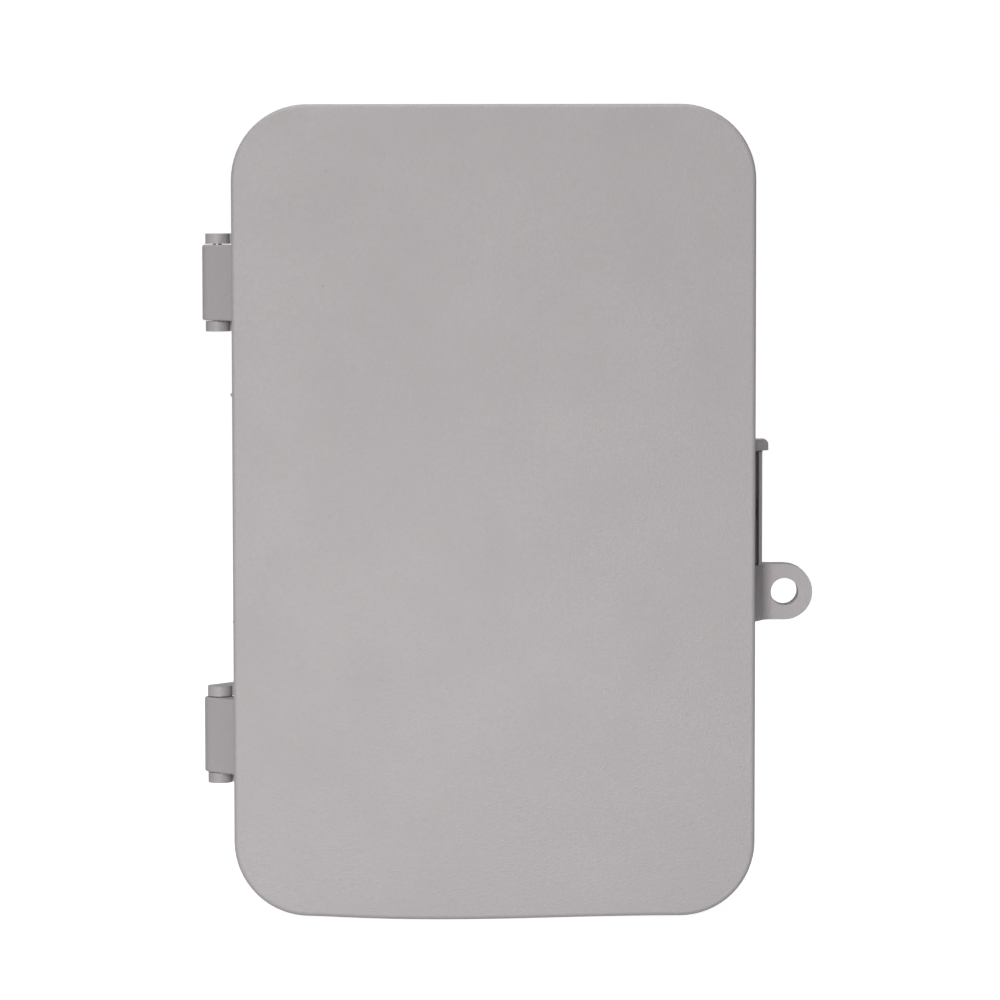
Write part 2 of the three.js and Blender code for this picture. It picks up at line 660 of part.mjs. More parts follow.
// Every key has a cap that stands out of the panel, a flange behind it and a stem over its contact.
const keyStem = (x, z) => rodAlongY(2, x, z, KEY_DEPTHS.flangeBack - ROOT, KEY_DEPTHS.stemEnd, 8);

function rectangularKey(x) {
  const { front, flangeFront, flangeBack } = KEY_DEPTHS;
  const [reach, rise] = [KEY.width / 2 + KEY.flange, KEY.height / 2 + KEY.flange];
  return join(
    faceOn(keyOutline(x, 0), flangeFront + ROOT, front),
    block([x - reach, x + reach], [flangeFront, flangeBack], [KEY.z - rise, KEY.z + rise]),
    keyStem(x, KEY.z),
  );
}

function roundKey(z) {
  const { front, flangeFront, flangeBack } = KEY_DEPTHS;
  return join(
    roundKeyDisc(ROUND_KEY.radius, z, front, flangeFront + ROOT),
    roundKeyDisc(ROUND_KEY.radius + KEY.flange, z, flangeFront, flangeBack),
    keyStem(ROUND_KEY.x, z),
  );
}

// The rain sensor's slide switch, at the left end of its travel.
function sensorSwitch() {
  const x = SENSOR.x - SENSOR.travel / 2;
  const across = (width) => [x - width / 2, x + width / 2];
  const height = SENSOR.slotHeight / 2 - GAP;
  return join(
    block(across(SENSOR.knob), [-93.2, -86.9], [SENSOR.z - height, SENSOR.z + height]),
    block(across(SENSOR.flange), [-87.6, -86.2], [SENSOR.z - 4.5, SENSOR.z + 4.5]),
  );
}

// The cell that keeps the clock running, in the panel's round recess.
function backupCell() {
  const back = PANEL.back + CELL.recess - GAP;
  return rodAlongY(CELL.radius, CELL.x, CELL.z, back - CELL.thickness, back);
}

add("panel_fascia", panelFascia(), "panel");
add("panel_back_cover", panelBackCover(), "darkPlastic");
add("control_board", controlBoard(), "board");
add("display_module", displayModule, "display");
add("display_window", displayWindow, "window");
add("dial_switch", dialSwitch, "darkPlastic");
add("program_dial", programDial(), "darkPlastic");
for (const [name, x] of Object.entries(KEYS)) add(`key_${name}`, rectangularKey(x), "key");
for (const [name, z] of Object.entries(ROUND_KEYS)) add(`key_${name}`, roundKey(z), "startKey");
add("sensor_switch", sensorSwitch(), "darkPlastic");
add("backup_cell", backupCell(), "steel");
PANEL_SCREWS.forEach((place, i) => add(`panel_screw_${i + 1}`, screw(place, PANEL.front, SCREW), "steel"));

// ---------------------------------------------------------------- wiring compartment

// The shelf that holds the terminal block clear of the back wall, standing on two legs.
function terminalShelf() {
  const { left, right, bottom, top, front, thickness } = SHELF;
  const legDepth = [front, CASE_INNER_BACK - GAP];
  return join(
    block([left, right], [front, front + thickness], [bottom, top]),
    block([left, left + thickness], legDepth, [bottom, top]),
    block([right - thickness, right], legDepth, [bottom, top]),
  );
}

const terminalX = (i) => TERMINALS.left + (i + 0.5) * TERMINAL_PITCH;
const TERMINAL_INDEXES = [...Array(TERMINALS.count).keys()];

// The terminal block: a bar with a screw well in front and a wire entry underneath for each terminal.
function terminalBlock() {
  const { left, right, bottom, top, front } = TERMINALS;
  const { radius, depth, entry } = TERMINAL_WELL;
  const openings = TERMINAL_INDEXES.flatMap((i) => {
    const x = terminalX(i);
    return [
      rodAlongY(radius, x, TERMINAL_Z, front - PAST, front + depth, 12),
      screwHole([x, TERMINAL_Z], front + depth, 7.4),
      block([x - entry / 2, x + entry / 2], [front + 4, front + 7.6], [bottom - PAST, bottom + 8]),
    ];
  });
  return cut(block([left, right], [front, SHELF.front - GAP], [bottom, top]), ...openings);
}

// A low-voltage lead, from the mains cover's side round and up into a terminal. It dips to a given height.
function secondaryLead(terminal, startZ, dip) {
  const x = terminalX(terminal);
  const y = TERMINALS.front + 5.8;
  const start = MAINS.left - GAP;
  const points = [
    [start, y + 6, startZ],
    [start - 4, y + 6, startZ - 1],
    [x + 3, y + 2, dip],
    [x, y, dip + 7],
    [x, y, TERMINALS.bottom + 3],
  ];
  const extrudePath = new THREE.CatmullRomCurve3(points.map((point) => new THREE.Vector3(...point)));
  const section = new THREE.Shape().absarc(0, 0, LEAD_RADIUS, 0, 4 * QUARTER);
  const options = { steps: 12, extrudePath, bevelEnabled: false, curveSegments: COARSE };
  return solidOf(new THREE.ExtrudeGeometry(section, options));
}

// The flat cable from the panel's tray down to the terminal block. It is drawn from the side (y, z) as a
// curve with thickness.
function ribbonCable() {
  const { entry } = RIBBON;
  const side = [[entry, -31.4], [entry, -40], [-64, -50], [-56, -56], [-53.5, TERMINALS.top + GAP]];
  const curve = new THREE.SplineCurve(side.map(([y, z]) => new THREE.Vector2(y, z)));
  const steps = 12;
  const edge = (offset) => [...Array(steps + 1).keys()].map((i) => {
    const along = curve.getTangent(i / steps);
    const across = new THREE.Vector2(-along.y, along.x).multiplyScalar(offset);
    return curve.getPoint(i / steps).add(across);
  });
  const half = RIBBON.thickness / 2;
  const outline = new THREE.Shape([...edge(-half), ...edge(half).reverse()]);
  const geometry = new THREE.ExtrudeGeometry(outline, { depth: RIBBON.width, bevelEnabled: false });
  const sideways = new THREE.Matrix4().makeBasis(Y, Z, X);
  return solidOf(geometry.applyMatrix4(sideways).translate(RIBBON.left, 0, 0));
}

// The cover over the transformer and the mains joints, open at the back, with a round hole over the conduit.
function mainsCover() {
  const { left, right, bottom, top, front, wall } = MAINS;
  const outer = roundedRect([left, right], [bottom, top], [4, 19, 4, 4]);
  const inner = roundedRect([left + wall, right - wall], [bottom + wall, top - wall], [2, 17, 2, 2]);
  const throughFront = [front - PAST, front + wall + PAST];
  const vents = [...Array(VENT.count).keys()].map((i) => {
    const ventTop = VENT.top - VENT.pitch * i;
    return block([VENT.left, VENT.right], throughFront, [ventTop - VENT.height, ventTop]);
  });
  return cut(
    faceOn(outer, CASE_INNER_BACK - GAP, front),
    faceOn(inner, 0, front + wall),
    rodAlongZ(CONDUIT.hole + 2, CONDUIT.x, CONDUIT.y, bottom - PAST, bottom + wall + PAST),
    screwHole(MAINS_SCREW, front, wall + PAST),
    ...vents,
  );
}

// The transformer's laminated core: a block with a window on each side of its middle leg.
function transformerCore() {
  const { x, y, z, width, height, thickness, leg, window, yoke } = CORE;
  const [y0, y1] = [y - thickness / 2, y + thickness / 2];
  const [z0, z1] = [z - height / 2 + yoke, z + height / 2 - yoke];
  return cut(
    block([x - width / 2, x + width / 2], [y0, y1], [z - height / 2, z + height / 2]),
    block([x - leg / 2 - window, x - leg / 2], [y0 - PAST, y1 + PAST], [z0, z1]),
    block([x + leg / 2, x + leg / 2 + window], [y0 - PAST, y1 + PAST], [z0, z1]),
  );
}

// The winding around the middle leg.
function transformerCoil() {
  const { x, y, z, height, thickness, leg, window, yoke } = CORE;
  const half = height / 2 - yoke - GAP;
  const reach = leg / 2 + window - GAP;
  const hole = roundedRect(
    [x - leg / 2 - GAP, x + leg / 2 + GAP],
    [y - thickness / 2 - GAP, y + thickness / 2 + GAP],
    0,
  );
  const outline = roundedRect([x - reach, x + reach], [y - COIL.halfDepth, y + COIL.halfDepth], COIL.corner);
  return cut(upright(outline, z - half, z + half), upright(hole, z - half - PAST, z + half + PAST));
}

// A steel strap over one of the core's yokes, with a foot on each side against the back wall.
function transformerStrap(side) {
  const { x, y, z, width, height, thickness, yoke } = CORE;
  const { sheet, foot } = STRAP;
  const [inner, outer] = [width / 2 + GAP, width / 2 + GAP + sheet];
  const front = y - thickness / 2 - GAP;
  const back = CASE_INNER_BACK - GAP;
  const middle = z + (side * (height - yoke)) / 2;
  const heights = [middle - yoke / 2 + 0.5, middle + yoke / 2 - 0.5];
  return join(
    block([x - outer, x + outer], [front - sheet, front], heights),
    block([x - outer, x - inner], [front - sheet, back], heights),
    block([x + inner, x + outer], [front - sheet, back], heights),
    block([x - outer, x - inner + foot], [back - sheet, back], heights),
    block([x + inner - foot, x + outer], [back - sheet, back], heights),
  );
}

const TERMINAL_SCREW = { length: 6, head: 2.6, headHeight: 1.6, shank: 1.2 };

add("terminal_shelf", terminalShelf(), "panel");
add("terminal_block", terminalBlock(), "terminal");
for (const i of TERMINAL_INDEXES) {
  const place = [terminalX(i), TERMINAL_Z];
  const seat = TERMINALS.front + TERMINAL_WELL.depth;
  add(`terminal_screw_${i + 1}`, screw(place, seat, TERMINAL_SCREW), "steel");
}
add("ribbon_cable", ribbonCable(), "ribbon");
add("secondary_lead_1", secondaryLead(8, -98, -94), "lead");
add("secondary_lead_2", secondaryLead(9, -92, -90), "lead");
add("mains_cover", mainsCover(), "mains");
add("mains_cover_screw", screw(MAINS_SCREW, MAINS.front, SCREW), "steel");
add("transformer_core", transformerCore(), "core");
add("transformer_coil", transformerCoil(), "winding");
add("transformer_strap_upper", transformerStrap(1), "steel");
add("transformer_strap_lower", transformerStrap(-1), "steel");

export default controller;
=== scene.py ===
import json
import math

import bmesh
import bpy
from mathutils import Matrix, Quaternion, Vector


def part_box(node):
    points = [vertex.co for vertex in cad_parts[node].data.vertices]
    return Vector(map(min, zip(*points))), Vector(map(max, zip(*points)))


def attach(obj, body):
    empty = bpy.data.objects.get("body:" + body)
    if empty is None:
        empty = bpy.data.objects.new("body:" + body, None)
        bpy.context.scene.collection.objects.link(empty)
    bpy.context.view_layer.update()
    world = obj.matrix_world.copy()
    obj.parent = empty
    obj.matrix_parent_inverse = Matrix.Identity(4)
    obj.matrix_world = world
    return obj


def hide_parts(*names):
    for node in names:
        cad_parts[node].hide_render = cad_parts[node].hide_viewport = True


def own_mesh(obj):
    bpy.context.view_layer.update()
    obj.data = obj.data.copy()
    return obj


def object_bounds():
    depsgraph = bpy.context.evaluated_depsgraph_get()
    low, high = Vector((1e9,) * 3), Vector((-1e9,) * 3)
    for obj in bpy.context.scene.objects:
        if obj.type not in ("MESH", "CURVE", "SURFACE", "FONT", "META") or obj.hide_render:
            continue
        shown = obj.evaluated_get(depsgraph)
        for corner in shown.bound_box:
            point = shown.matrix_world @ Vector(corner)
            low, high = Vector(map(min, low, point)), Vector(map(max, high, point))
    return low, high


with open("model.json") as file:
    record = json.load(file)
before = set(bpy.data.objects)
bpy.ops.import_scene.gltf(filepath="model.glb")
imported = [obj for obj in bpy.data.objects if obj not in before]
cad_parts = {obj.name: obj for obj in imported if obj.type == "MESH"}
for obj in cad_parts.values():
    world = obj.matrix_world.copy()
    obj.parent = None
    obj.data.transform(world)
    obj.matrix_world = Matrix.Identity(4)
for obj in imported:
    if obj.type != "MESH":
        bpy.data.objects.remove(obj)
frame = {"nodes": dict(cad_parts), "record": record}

cad_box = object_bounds()

# Sizes are in millimetres until a piece is made, in the frame's axes: +X right, +Y into the wall, +Z up.
MM = 0.001
QUARTER = math.pi / 2
SAME_POINT = 1e-4  # points nearer than this are one
LEAST_MITRE = 0.3  # keeps a sharp corner from being drawn out when its outline is offset

# ------------------------------------------------------------------ outlines


def quarter_turn(steps):
    """Angles from nought to a right angle, both included."""
    return [QUARTER * i / steps for i in range(steps + 1)]


def arc(cx, cy, radius, start, end, steps):
    """Points round a circle, both ends included."""
    angles = [start + (end - start) * i / steps for i in range(steps + 1)]
    return [(cx + radius * math.cos(a), cy + radius * math.sin(a)) for a in angles]


def circle(cx, cy, radius, sides=48):
    return arc(cx, cy, radius, 0, 4 * QUARTER, sides)[:-1]


def tidy_loop(points):
    """The loop without points that repeat their neighbour."""
    kept = []
    for p in points:
        if not kept or math.dist(p, kept[-1]) > SAME_POINT:
            kept.append(p)
    if math.dist(kept[0], kept[-1]) < SAME_POINT:
        kept.pop()
    return kept


def rounded(x0, x1, y0, y1, radius, steps=8):
    """A rectangle with round corners, anticlockwise. radius is one number or four, from the lower left."""
    r = radius if isinstance(radius, (list, tuple)) else [radius] * 4
    corners = [
        (x0 + r[0], y0 + r[0], 2),
        (x1 - r[1], y0 + r[1], 3),
        (x1 - r[2], y1 - r[2], 0),
        (x0 + r[3], y1 - r[3], 1),
    ]
    points = []
    for (cx, cy, quadrant), rr in zip(corners, r):
        if rr > 0:
            points += arc(cx, cy, rr, quadrant * QUARTER, (quadrant + 1) * QUARTER, steps)
        else:
            points.append((cx, cy))
    return tidy_loop(points)


def offset(loop, distance):
    """An anticlockwise loop moved inwards by a distance."""
    moved = []
    for i, p in enumerate(loop):
        before, after = loop[i - 1], loop[(i + 1) % len(loop)]
        a = Vector((p[0] - before[0], p[1] - before[1])).normalized()
        b = Vector((after[0] - p[0], after[1] - p[1])).normalized()
        na, nb = Vector((-a.y, a.x)), Vector((-b.y, b.x))
        m = (na + nb).normalized()
        reach = distance / max(LEAST_MITRE, m.dot(na))
        moved.append((p[0] + m.x * reach, p[1] + m.y * reach))
    return moved


DOOR_HALF_WIDTH, DOOR_TOP, DOOR_BOTTOM, DOOR_CORNER = 90, 140.7, -139.4, 26
DOOR_BOW = 1.3
CORNER_STEPS, BOTTOM_STEPS = 16, 48
PARTING, DOOR_FRONT, DOOR_INSIDE = -95, -115, -112.4


def bow(share):
    """How far the door's lower edge sags at a share of its length: 1 at its lowest, left of the middle."""
    rise, fall = 1.3, 2.3
    peak = rise / (rise + fall)
    return (share / peak) ** rise * ((1 - share) / (1 - peak)) ** fall


def door_outline(inset):
    """The door's outline drawn in by an inset, anticlockwise. Every inset gives the same number of points."""
    radius = DOOR_CORNER - inset
    cx = DOOR_HALF_WIDTH - DOOR_CORNER
    low, high = DOOR_BOTTOM + DOOR_CORNER, DOOR_TOP - DOOR_CORNER
    shares = [i / BOTTOM_STEPS for i in range(BOTTOM_STEPS + 1)]
    points = [(cx * (2 * s - 1), low - radius - DOOR_BOW * bow(s)) for s in shares]
    for x, z, quadrant in ((cx, low, 3), (cx, high, 0), (-cx, high, 1), (-cx, low, 2)):
        corner = arc(x, z, radius, quadrant * QUARTER, (quadrant + 1) * QUARTER, CORNER_STEPS)
        points += corner[1:] if quadrant == 3 else corner
    return points[:-1]


# ------------------------------------------------------------------ mesh building

FRONT_VIEW = lambda u, v, w: (u, w, v)  # an outline in x and z, given thickness along y
PLAN = lambda u, v, w: (u, v, w)  # an outline in x and y, given height along z


def ring(bm, loop, w, to):
    return [bm.verts.new(to(u, v, w)) for u, v in loop]


def bridge(bm, a, b):
    for i in range(len(a)):
        j = (i + 1) % len(a)
        bm.faces.new((a[i], a[j], b[j], b[i]))


def loft(bm, rings, closed=True):
    """Joins rings of vertices in turn, and closes both ends if it is asked to."""
    for a, b in zip(rings, rings[1:]):
        bridge(bm, a, b)
    if closed:
        bm.faces.new(rings[0])
        bm.faces.new(rings[-1])


def round_edge(radius, steps=3):
    """(inset, rise) pairs from a flat face round its edge to the wall beside it."""
    if radius <= 0:
        return [(0, 0)]
    return [(radius * (1 - math.sin(t)), radius * (1 - math.cos(t))) for t in quarter_turn(steps)]


def between_faces(low, high, edges, steps):
    """(inset, level) pairs up the wall of a solid with round edges."""
    lower = [(inset, low + rise) for inset, rise in round_edge(edges[0], steps)]
    upper = [(inset, high - rise) for inset, rise in round_edge(edges[1], steps)]
    return lower + upper[::-1]


def fill_between(bm, rings):
    """Fills the flat face that is bounded by the first ring and has the others as holes."""
    edges = []
    for r in rings:
        for i in range(len(r)):
            edges.append(bm.edges.get((r[i], r[(i + 1) % len(r)])))
    bmesh.ops.triangle_fill(bm, use_beauty=True, use_dissolve=False, edges=edges)


def moulding(outline, low, high, to=FRONT_VIEW, holes=(), edges=(0.3, 0.3), steps=3, hole_edges=None):
    """A solid with two flat faces, round edges and holes right through it."""
    bm = bmesh.new()
    lower, upper = [], []
    for k, loop in enumerate([outline, *holes]):
        sizes = edges if k == 0 or hole_edges is None else hole_edges
        sign = 1 if k == 0 else -1
        levels = between_faces(low, high, sizes, steps)
        rings = [ring(bm, offset(loop, sign * inset) if inset else loop, w, to) for inset, w in levels]
        loft(bm, rings, closed=False)
        lower.append(rings[0])
        upper.append(rings[-1])
    if holes:
        fill_between(bm, lower)
        fill_between(bm, upper)
    else:
        bm.faces.new(lower[0])
        bm.faces.new(upper[0])
    return bm


def turned(profile, axis, centre, sides=64):
    """(radius, level) points turned about an axis. The profile may start or end on the axis."""
    to = {
        "y": lambda u, v, w: (centre[0] + u, w, centre[1] + v),
        "z": lambda u, v, w: (centre[0] + u, centre[1] + v, w),
    }[axis]
    bm = bmesh.new()
    rings = []
    for radius, level in profile:
        if radius < SAME_POINT:
            rings.append([bm.verts.new(to(0, 0, level))])
        else:
            rings.append([bm.verts.new(to(x, y, level)) for x, y in circle(0, 0, radius, sides)])
    for a, b in zip(rings, rings[1:]):
        if len(a) == 1 or len(b) == 1:
            tip, rim = (a[0], b) if len(a) == 1 else (b[0], a)
            for i in range(len(rim)):
                bm.faces.new((rim[i], rim[(i + 1) % len(rim)], tip))
        else:
            bridge(bm, a, b)
    if len(rings[0]) > 1 and len(rings[-1]) > 1:
        bridge(bm, rings[-1], rings[0])
    return bm


def closed_sweep(loops_and_levels):
    """A ring-shaped solid from a closed row of (loop, level) pairs, seen from the front."""
    bm = bmesh.new()
    rings = [ring(bm, loop, w, FRONT_VIEW) for loop, w in loops_and_levels]
    loft(bm, rings, closed=False)
    bridge(bm, rings[-1], rings[0])
    return bm


def smooth_path(points, steps):
    """Points along a smooth curve through the given ones."""
    ends = [Vector(points[0]) * 2 - Vector(points[1]), Vector(points[-1]) * 2 - Vector(points[-2])]
    p = [ends[0], *map(Vector, points), ends[1]]
    path = []
    for i in range(1, len(p) - 2):
        for k in range(steps):
            t = k / steps
            square = 2 * p[i - 1] - 5 * p[i] + 4 * p[i + 1] - p[i + 2]
            cube = 3 * p[i] - p[i - 1] - 3 * p[i + 1] + p[i + 2]
            path.append(0.5 * (2 * p[i] + (p[i + 1] - p[i - 1]) * t + square * t * t + cube * t * t * t))
    path.append(p[-2])
    return path


def swept(path, section, up):
    """A closed section swept along a path of points without twist."""
    bm = bmesh.new()
    rings = []
    side = None
    for i, p in enumerate(path):
        along = (path[min(i + 1, len(path) - 1)] - path[max(i - 1, 0)]).normalized()
        if side is None:
            side = along.cross(Vector(up)).normalized()
        side = (side - along * side.dot(along)).normalized()
        other = along.cross(side)
        rings.append([bm.verts.new(p + side * u + other * v) for u, v in section])
    loft(bm, rings)
    return bm


def to_object(bm, name="scratch"):
    """A Blender object in metres from a mesh in millimetres."""
    bmesh.ops.recalc_face_normals(bm, faces=bm.faces)
    if sum(f.calc_area() * f.normal.dot(f.calc_center_median()) for f in bm.faces) < 0:
        bmesh.ops.reverse_faces(bm, faces=bm.faces)
    bm.transform(Matrix.Scale(MM, 4))
    mesh = bpy.data.meshes.new(name)
    bm.to_mesh(mesh)
    bm.free()
    obj = bpy.data.objects.new(name, mesh)
    bpy.context.scene.collection.objects.link(obj)
    return obj


def combined(operation, first, *others):
    """The union, difference or intersection of solids, as a mesh in millimetres."""
    base = to_object(first)
    tools = [to_object(bm) for bm in others]
    for tool in tools:
        modifier = base.modifiers.new("boolean", "BOOLEAN")
        modifier.operation = operation
        modifier.solver = "EXACT"
        modifier.object = tool
    graph = bpy.context.evaluated_depsgraph_get()
    made = bmesh.new()
    made.from_object(base, graph)
    made.transform(Matrix.Scale(1 / MM, 4))
    for obj in (base, *tools):
        mesh = obj.data
        bpy.data.objects.remove(obj)
        bpy.data.meshes.remove(mesh)
    bmesh.ops.remove_doubles(made, verts=made.verts, dist=SAME_POINT)
    return made


FLAT_WITHIN = math.radians(0.5)
SHARP_EDGE = 38  # degrees


def soften(bm, width, segments=2, sharpest=SHARP_EDGE):
    """Rounds the edges that are sharper than an angle in degrees."""
    sharpest = math.radians(sharpest)
    bmesh.ops.dissolve_limit(
        bm, angle_limit=FLAT_WITHIN, use_dissolve_boundaries=False, verts=bm.verts, edges=bm.edges
    )
    edges = [e for e in bm.edges if len(e.link_faces) == 2 and e.calc_face_angle(0) > sharpest]
    bmesh.ops.bevel(
        bm, geom=edges, offset=width, offset_type="OFFSET", segments=segments, profile=0.5, affect="EDGES",
        clamp_overlap=True,
    )
    return bm


def joined(*parts):
    """Several meshes in one, each part's own surface kept."""
    whole = parts[0]
    for part in parts[1:]:
        mesh = bpy.data.meshes.new("scratch")
        part.to_mesh(mesh)
        part.free()
        whole.from_mesh(mesh)
        bpy.data.meshes.remove(mesh)
    return whole


def outwards(bm):
    bmesh.ops.recalc_face_normals(bm, faces=bm.faces)
    return bm


FACE_WEIGHT = 60  # how much a larger face counts in the shading of its corners


def piece(name, bm, material, body, replaces=(), sharp=50):
    """Makes a visible piece that rides on a body and may stand for CAD nodes. sharp is in degrees."""
    obj = to_object(bm, name)
    obj.data.shade_smooth()
    obj.data.set_sharp_from_angle(angle=math.radians(sharp))
    normals = obj.modifiers.new("normals", "WEIGHTED_NORMAL")
    normals.keep_sharp = True
    normals.weight = FACE_WEIGHT
    obj.data.materials.append(material)
    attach(obj, body)
    if replaces:
        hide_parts(*([replaces] if isinstance(replaces, str) else replaces))
    return obj


# ------------------------------------------------------------------ materials


def srgb(*values):
    """Colour from 0-255 sRGB values."""
    linear = [(v / 255) / 12.92 if v <= 10 else (((v / 255) + 0.055) / 1.055) ** 2.4 for v in values]
    return (*linear, 1)


MID_NOISE = (0.3, 0.7)  # most of a noise's values lie between these


class Nodes:
    """A material's node tree, with short ways to add and link nodes."""

    def __init__(self, name):
        self.material = bpy.data.materials.new(name)
        self.material.use_nodes = True
        self.tree = self.material.node_tree
        self.shader = self.tree.nodes["Principled BSDF"]
        self.place = self.add("ShaderNodeTexCoord").outputs["Object"]

    def add(self, kind, inputs=None, **settings):
        node = self.tree.nodes.new(kind)
        for key, value in settings.items():
            setattr(node, key, value)
        for key, value in (inputs or {}).items():
            self.set(node.inputs[key], value)
        return node

    def set(self, socket, value):
        if isinstance(value, bpy.types.NodeSocket):
            self.tree.links.new(value, socket)
        else:
            socket.default_value = value

    def noise(self, scale, detail=2, roughness=0.5, vector=None):
        inputs = {"Vector": vector or self.place, "Scale": scale, "Detail": detail, "Roughness": roughness}
        return self.add("ShaderNodeTexNoise", inputs).outputs["Fac"]

    def cells(self, scale, feature="F1", randomness=1):
        inputs = {"Vector": self.place, "Scale": scale, "Randomness": randomness}
        return self.add("ShaderNodeTexVoronoi", inputs, feature=feature)

    def spread(self, value, low, high, to_low=0.0, to_high=1.0):
        inputs = {"Value": value, "From Min": low, "From Max": high, "To Min": to_low, "To Max": to_high}
        return self.add("ShaderNodeMapRange", inputs).outputs["Result"]

    def math(self, operation, a, b):
        return self.add("ShaderNodeMath", {0: a, 1: b}, operation=operation).outputs[0]

    def blend(self, share, a, b):
        node = self.add("ShaderNodeMix", data_type="RGBA")
        self.set(node.inputs["Factor"], share)
        self.set(node.inputs[6], a)
        self.set(node.inputs[7], b)
        return node.outputs[2]

    def stretched(self, x, y, z):
        return self.add("ShaderNodeMapping", {"Vector": self.place, "Scale": (x, y, z)}).outputs["Vector"]

    def bump(self, height, distance):
        """distance is the depth of the relief in metres."""
        inputs = {"Height": height, "Distance": distance, "Strength": 1.0}
        return self.add("ShaderNodeBump", inputs).outputs["Normal"]

    def finish(self, **inputs):
        for key, value in inputs.items():
            self.set(self.shader.inputs[key.replace("_", " ").title().replace("Ior", "IOR")], value)
        return self.material


def shade(colour, factor):
    return (*[c * factor for c in colour[:3]], 1)


PLASTIC_IOR = 1.47


def moulded(name, colour, roughness, grain=1700, depth=0.00006, mottle=0.04, specks=0.0):
    """Injection-moulded plastic with a spark-eroded grain, faint flow mottling and a few specks."""
    n = Nodes(name)
    cloud = n.noise(16, detail=4, roughness=0.6)
    fine = n.noise(900, detail=2)
    tone = n.blend(n.spread(cloud, *MID_NOISE), shade(colour, 1 - mottle), shade(colour, 1 + mottle))
    tone = n.blend(n.spread(fine, 0.2, 0.8), shade(colour, 0.94), tone)
    if specks:
        spots = n.cells(70)
        near = n.spread(spots.outputs["Distance"], 0.008, 0.03, 1.0, 0.0)
        draw = n.add("ShaderNodeSeparateColor", {"Color": spots.outputs["Color"]}).outputs[0]
        rare = n.spread(draw, 0.86, 0.9)
        share = n.math("MULTIPLY", n.math("MULTIPLY", near, rare), specks)
        tone = n.blend(share, tone, srgb(120, 84, 74))
    pebble = n.cells(grain, feature="SMOOTH_F1").outputs["Distance"]
    coarse = n.noise(grain * 0.45, detail=3)
    height = n.math("ADD", pebble, coarse)
    rough = n.spread(n.noise(40, detail=3), *MID_NOISE, roughness - 0.05, roughness + 0.05)
    return n.finish(base_color=tone, roughness=rough, normal=n.bump(height, depth), ior=PLASTIC_IOR)


def zinc(name, colour=srgb(196, 198, 194), metallic=1.0):
    """Zinc-plated steel: a fine grain, clouded plating and small dull spots."""
    n = Nodes(name)
    cloud = n.noise(220, detail=4, roughness=0.6)
    grain = n.noise(900, detail=3)
    tone = n.blend(n.spread(cloud, *MID_NOISE), shade(colour, 0.86), shade(colour, 1.04))
    dull = n.spread(n.noise(90, detail=5, roughness=0.7), 0.58, 0.7)
    tone = n.blend(n.math("MULTIPLY", dull, 0.35), tone, srgb(150, 146, 132))
    rough = n.spread(grain, *MID_NOISE, 0.26, 0.44)
    return n.finish(base_color=tone, metallic=metallic, roughness=rough, normal=n.bump(grain, 0.00002))


ENCLOSURE = moulded("enclosure_plastic", srgb(176, 171, 172), roughness=0.52, depth=0.00009, specks=0.6)
BLACK_STEEL = srgb(58, 58, 60)

# ------------------------------------------------------------------ the frame

BODY_OF = {node: body for body, nodes in frame["record"]["behaviour"]["bodies"].items() for node in nodes}
SLOT_OF = {part["node"]: part["material_slot"] for part in frame["record"]["subparts"]}


def limits(node):
    """A node's lowest and highest corners in millimetres."""
    low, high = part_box(node)
    return Vector(low) / MM, Vector(high) / MM


def middle(node):
    """A node's middle in x and z."""
    low, high = limits(node)
    return (low.x + high.x) / 2, (low.z + high.z) / 2


# ------------------------------------------------------------------ door

SKIRT = 2.5
FILLET, INNER_FILLET = 1.5, 1.0
RIM, RIM_MIDDLE = 0.35, 0.1  # the round of the skirt's rear edge
RIB_PROFILE = [(6, DOOR_INSIDE - 1), (6, -106.7), (6.15, -106.4), (6.4, -106.3), (7.0, -106.3),
               (7.25, -106.4), (7.4, -106.7), (7.5, DOOR_INSIDE - 1)]
ROOT = DOOR_HALF_WIDTH - 1.2  # how far out what stands on the door's sides begins


def door_pan():
    """The door's face and skirt: one shell, round at its front edge and open at the back."""
    bm = bmesh.new()
    outside = [(RIM, PARTING), (RIM_MIDDLE, PARTING - RIM_MIDDLE), (0, PARTING - RIM)]
    front = [(FILLET * (1 - math.cos(t)), DOOR_FRONT + FILLET * (1 - math.sin(t))) for t in quarter_turn(8)]
    inside = [
        (SKIRT + INNER_FILLET * (1 - math.sin(t)), DOOR_INSIDE + INNER_FILLET * (1 - math.cos(t)))
        for t in quarter_turn(4)
    ]
    rear = [(SKIRT, PARTING - RIM), (SKIRT - RIM_MIDDLE, PARTING - RIM_MIDDLE), (SKIRT - RIM, PARTING)]
    levels = front[::-1] + outside[::-1] + rear[::-1] + inside[::-1]
    rings = [ring(bm, door_outline(inset), y, FRONT_VIEW) for inset, y in levels]
    loft(bm, rings)
    return outwards(bm)


def door_rib():
    """The rib inside the door that the gasket is pushed against."""
    return outwards(closed_sweep([(door_outline(inset), y) for inset, y in RIB_PROFILE]))


HINGE_X, KNUCKLE_RADIUS, KNUCKLE_HALF = -95.9, 5.3, 13.1
HINGES = (79.5, -78.1)
PIN_BORE = 1.8
WEB_FRONT = -107.6  # where the knuckle's web meets the door's side
WEB_GAP = math.radians(62)  # the part of the barrel that the web takes up


def tangent(centre, radius, point, turn):
    """Angle of the point on a circle where a line from outside touches it."""
    reach = Vector((point[0] - centre[0], point[1] - centre[1]))
    return math.atan2(reach.y, reach.x) + turn * math.acos(radius / reach.length)


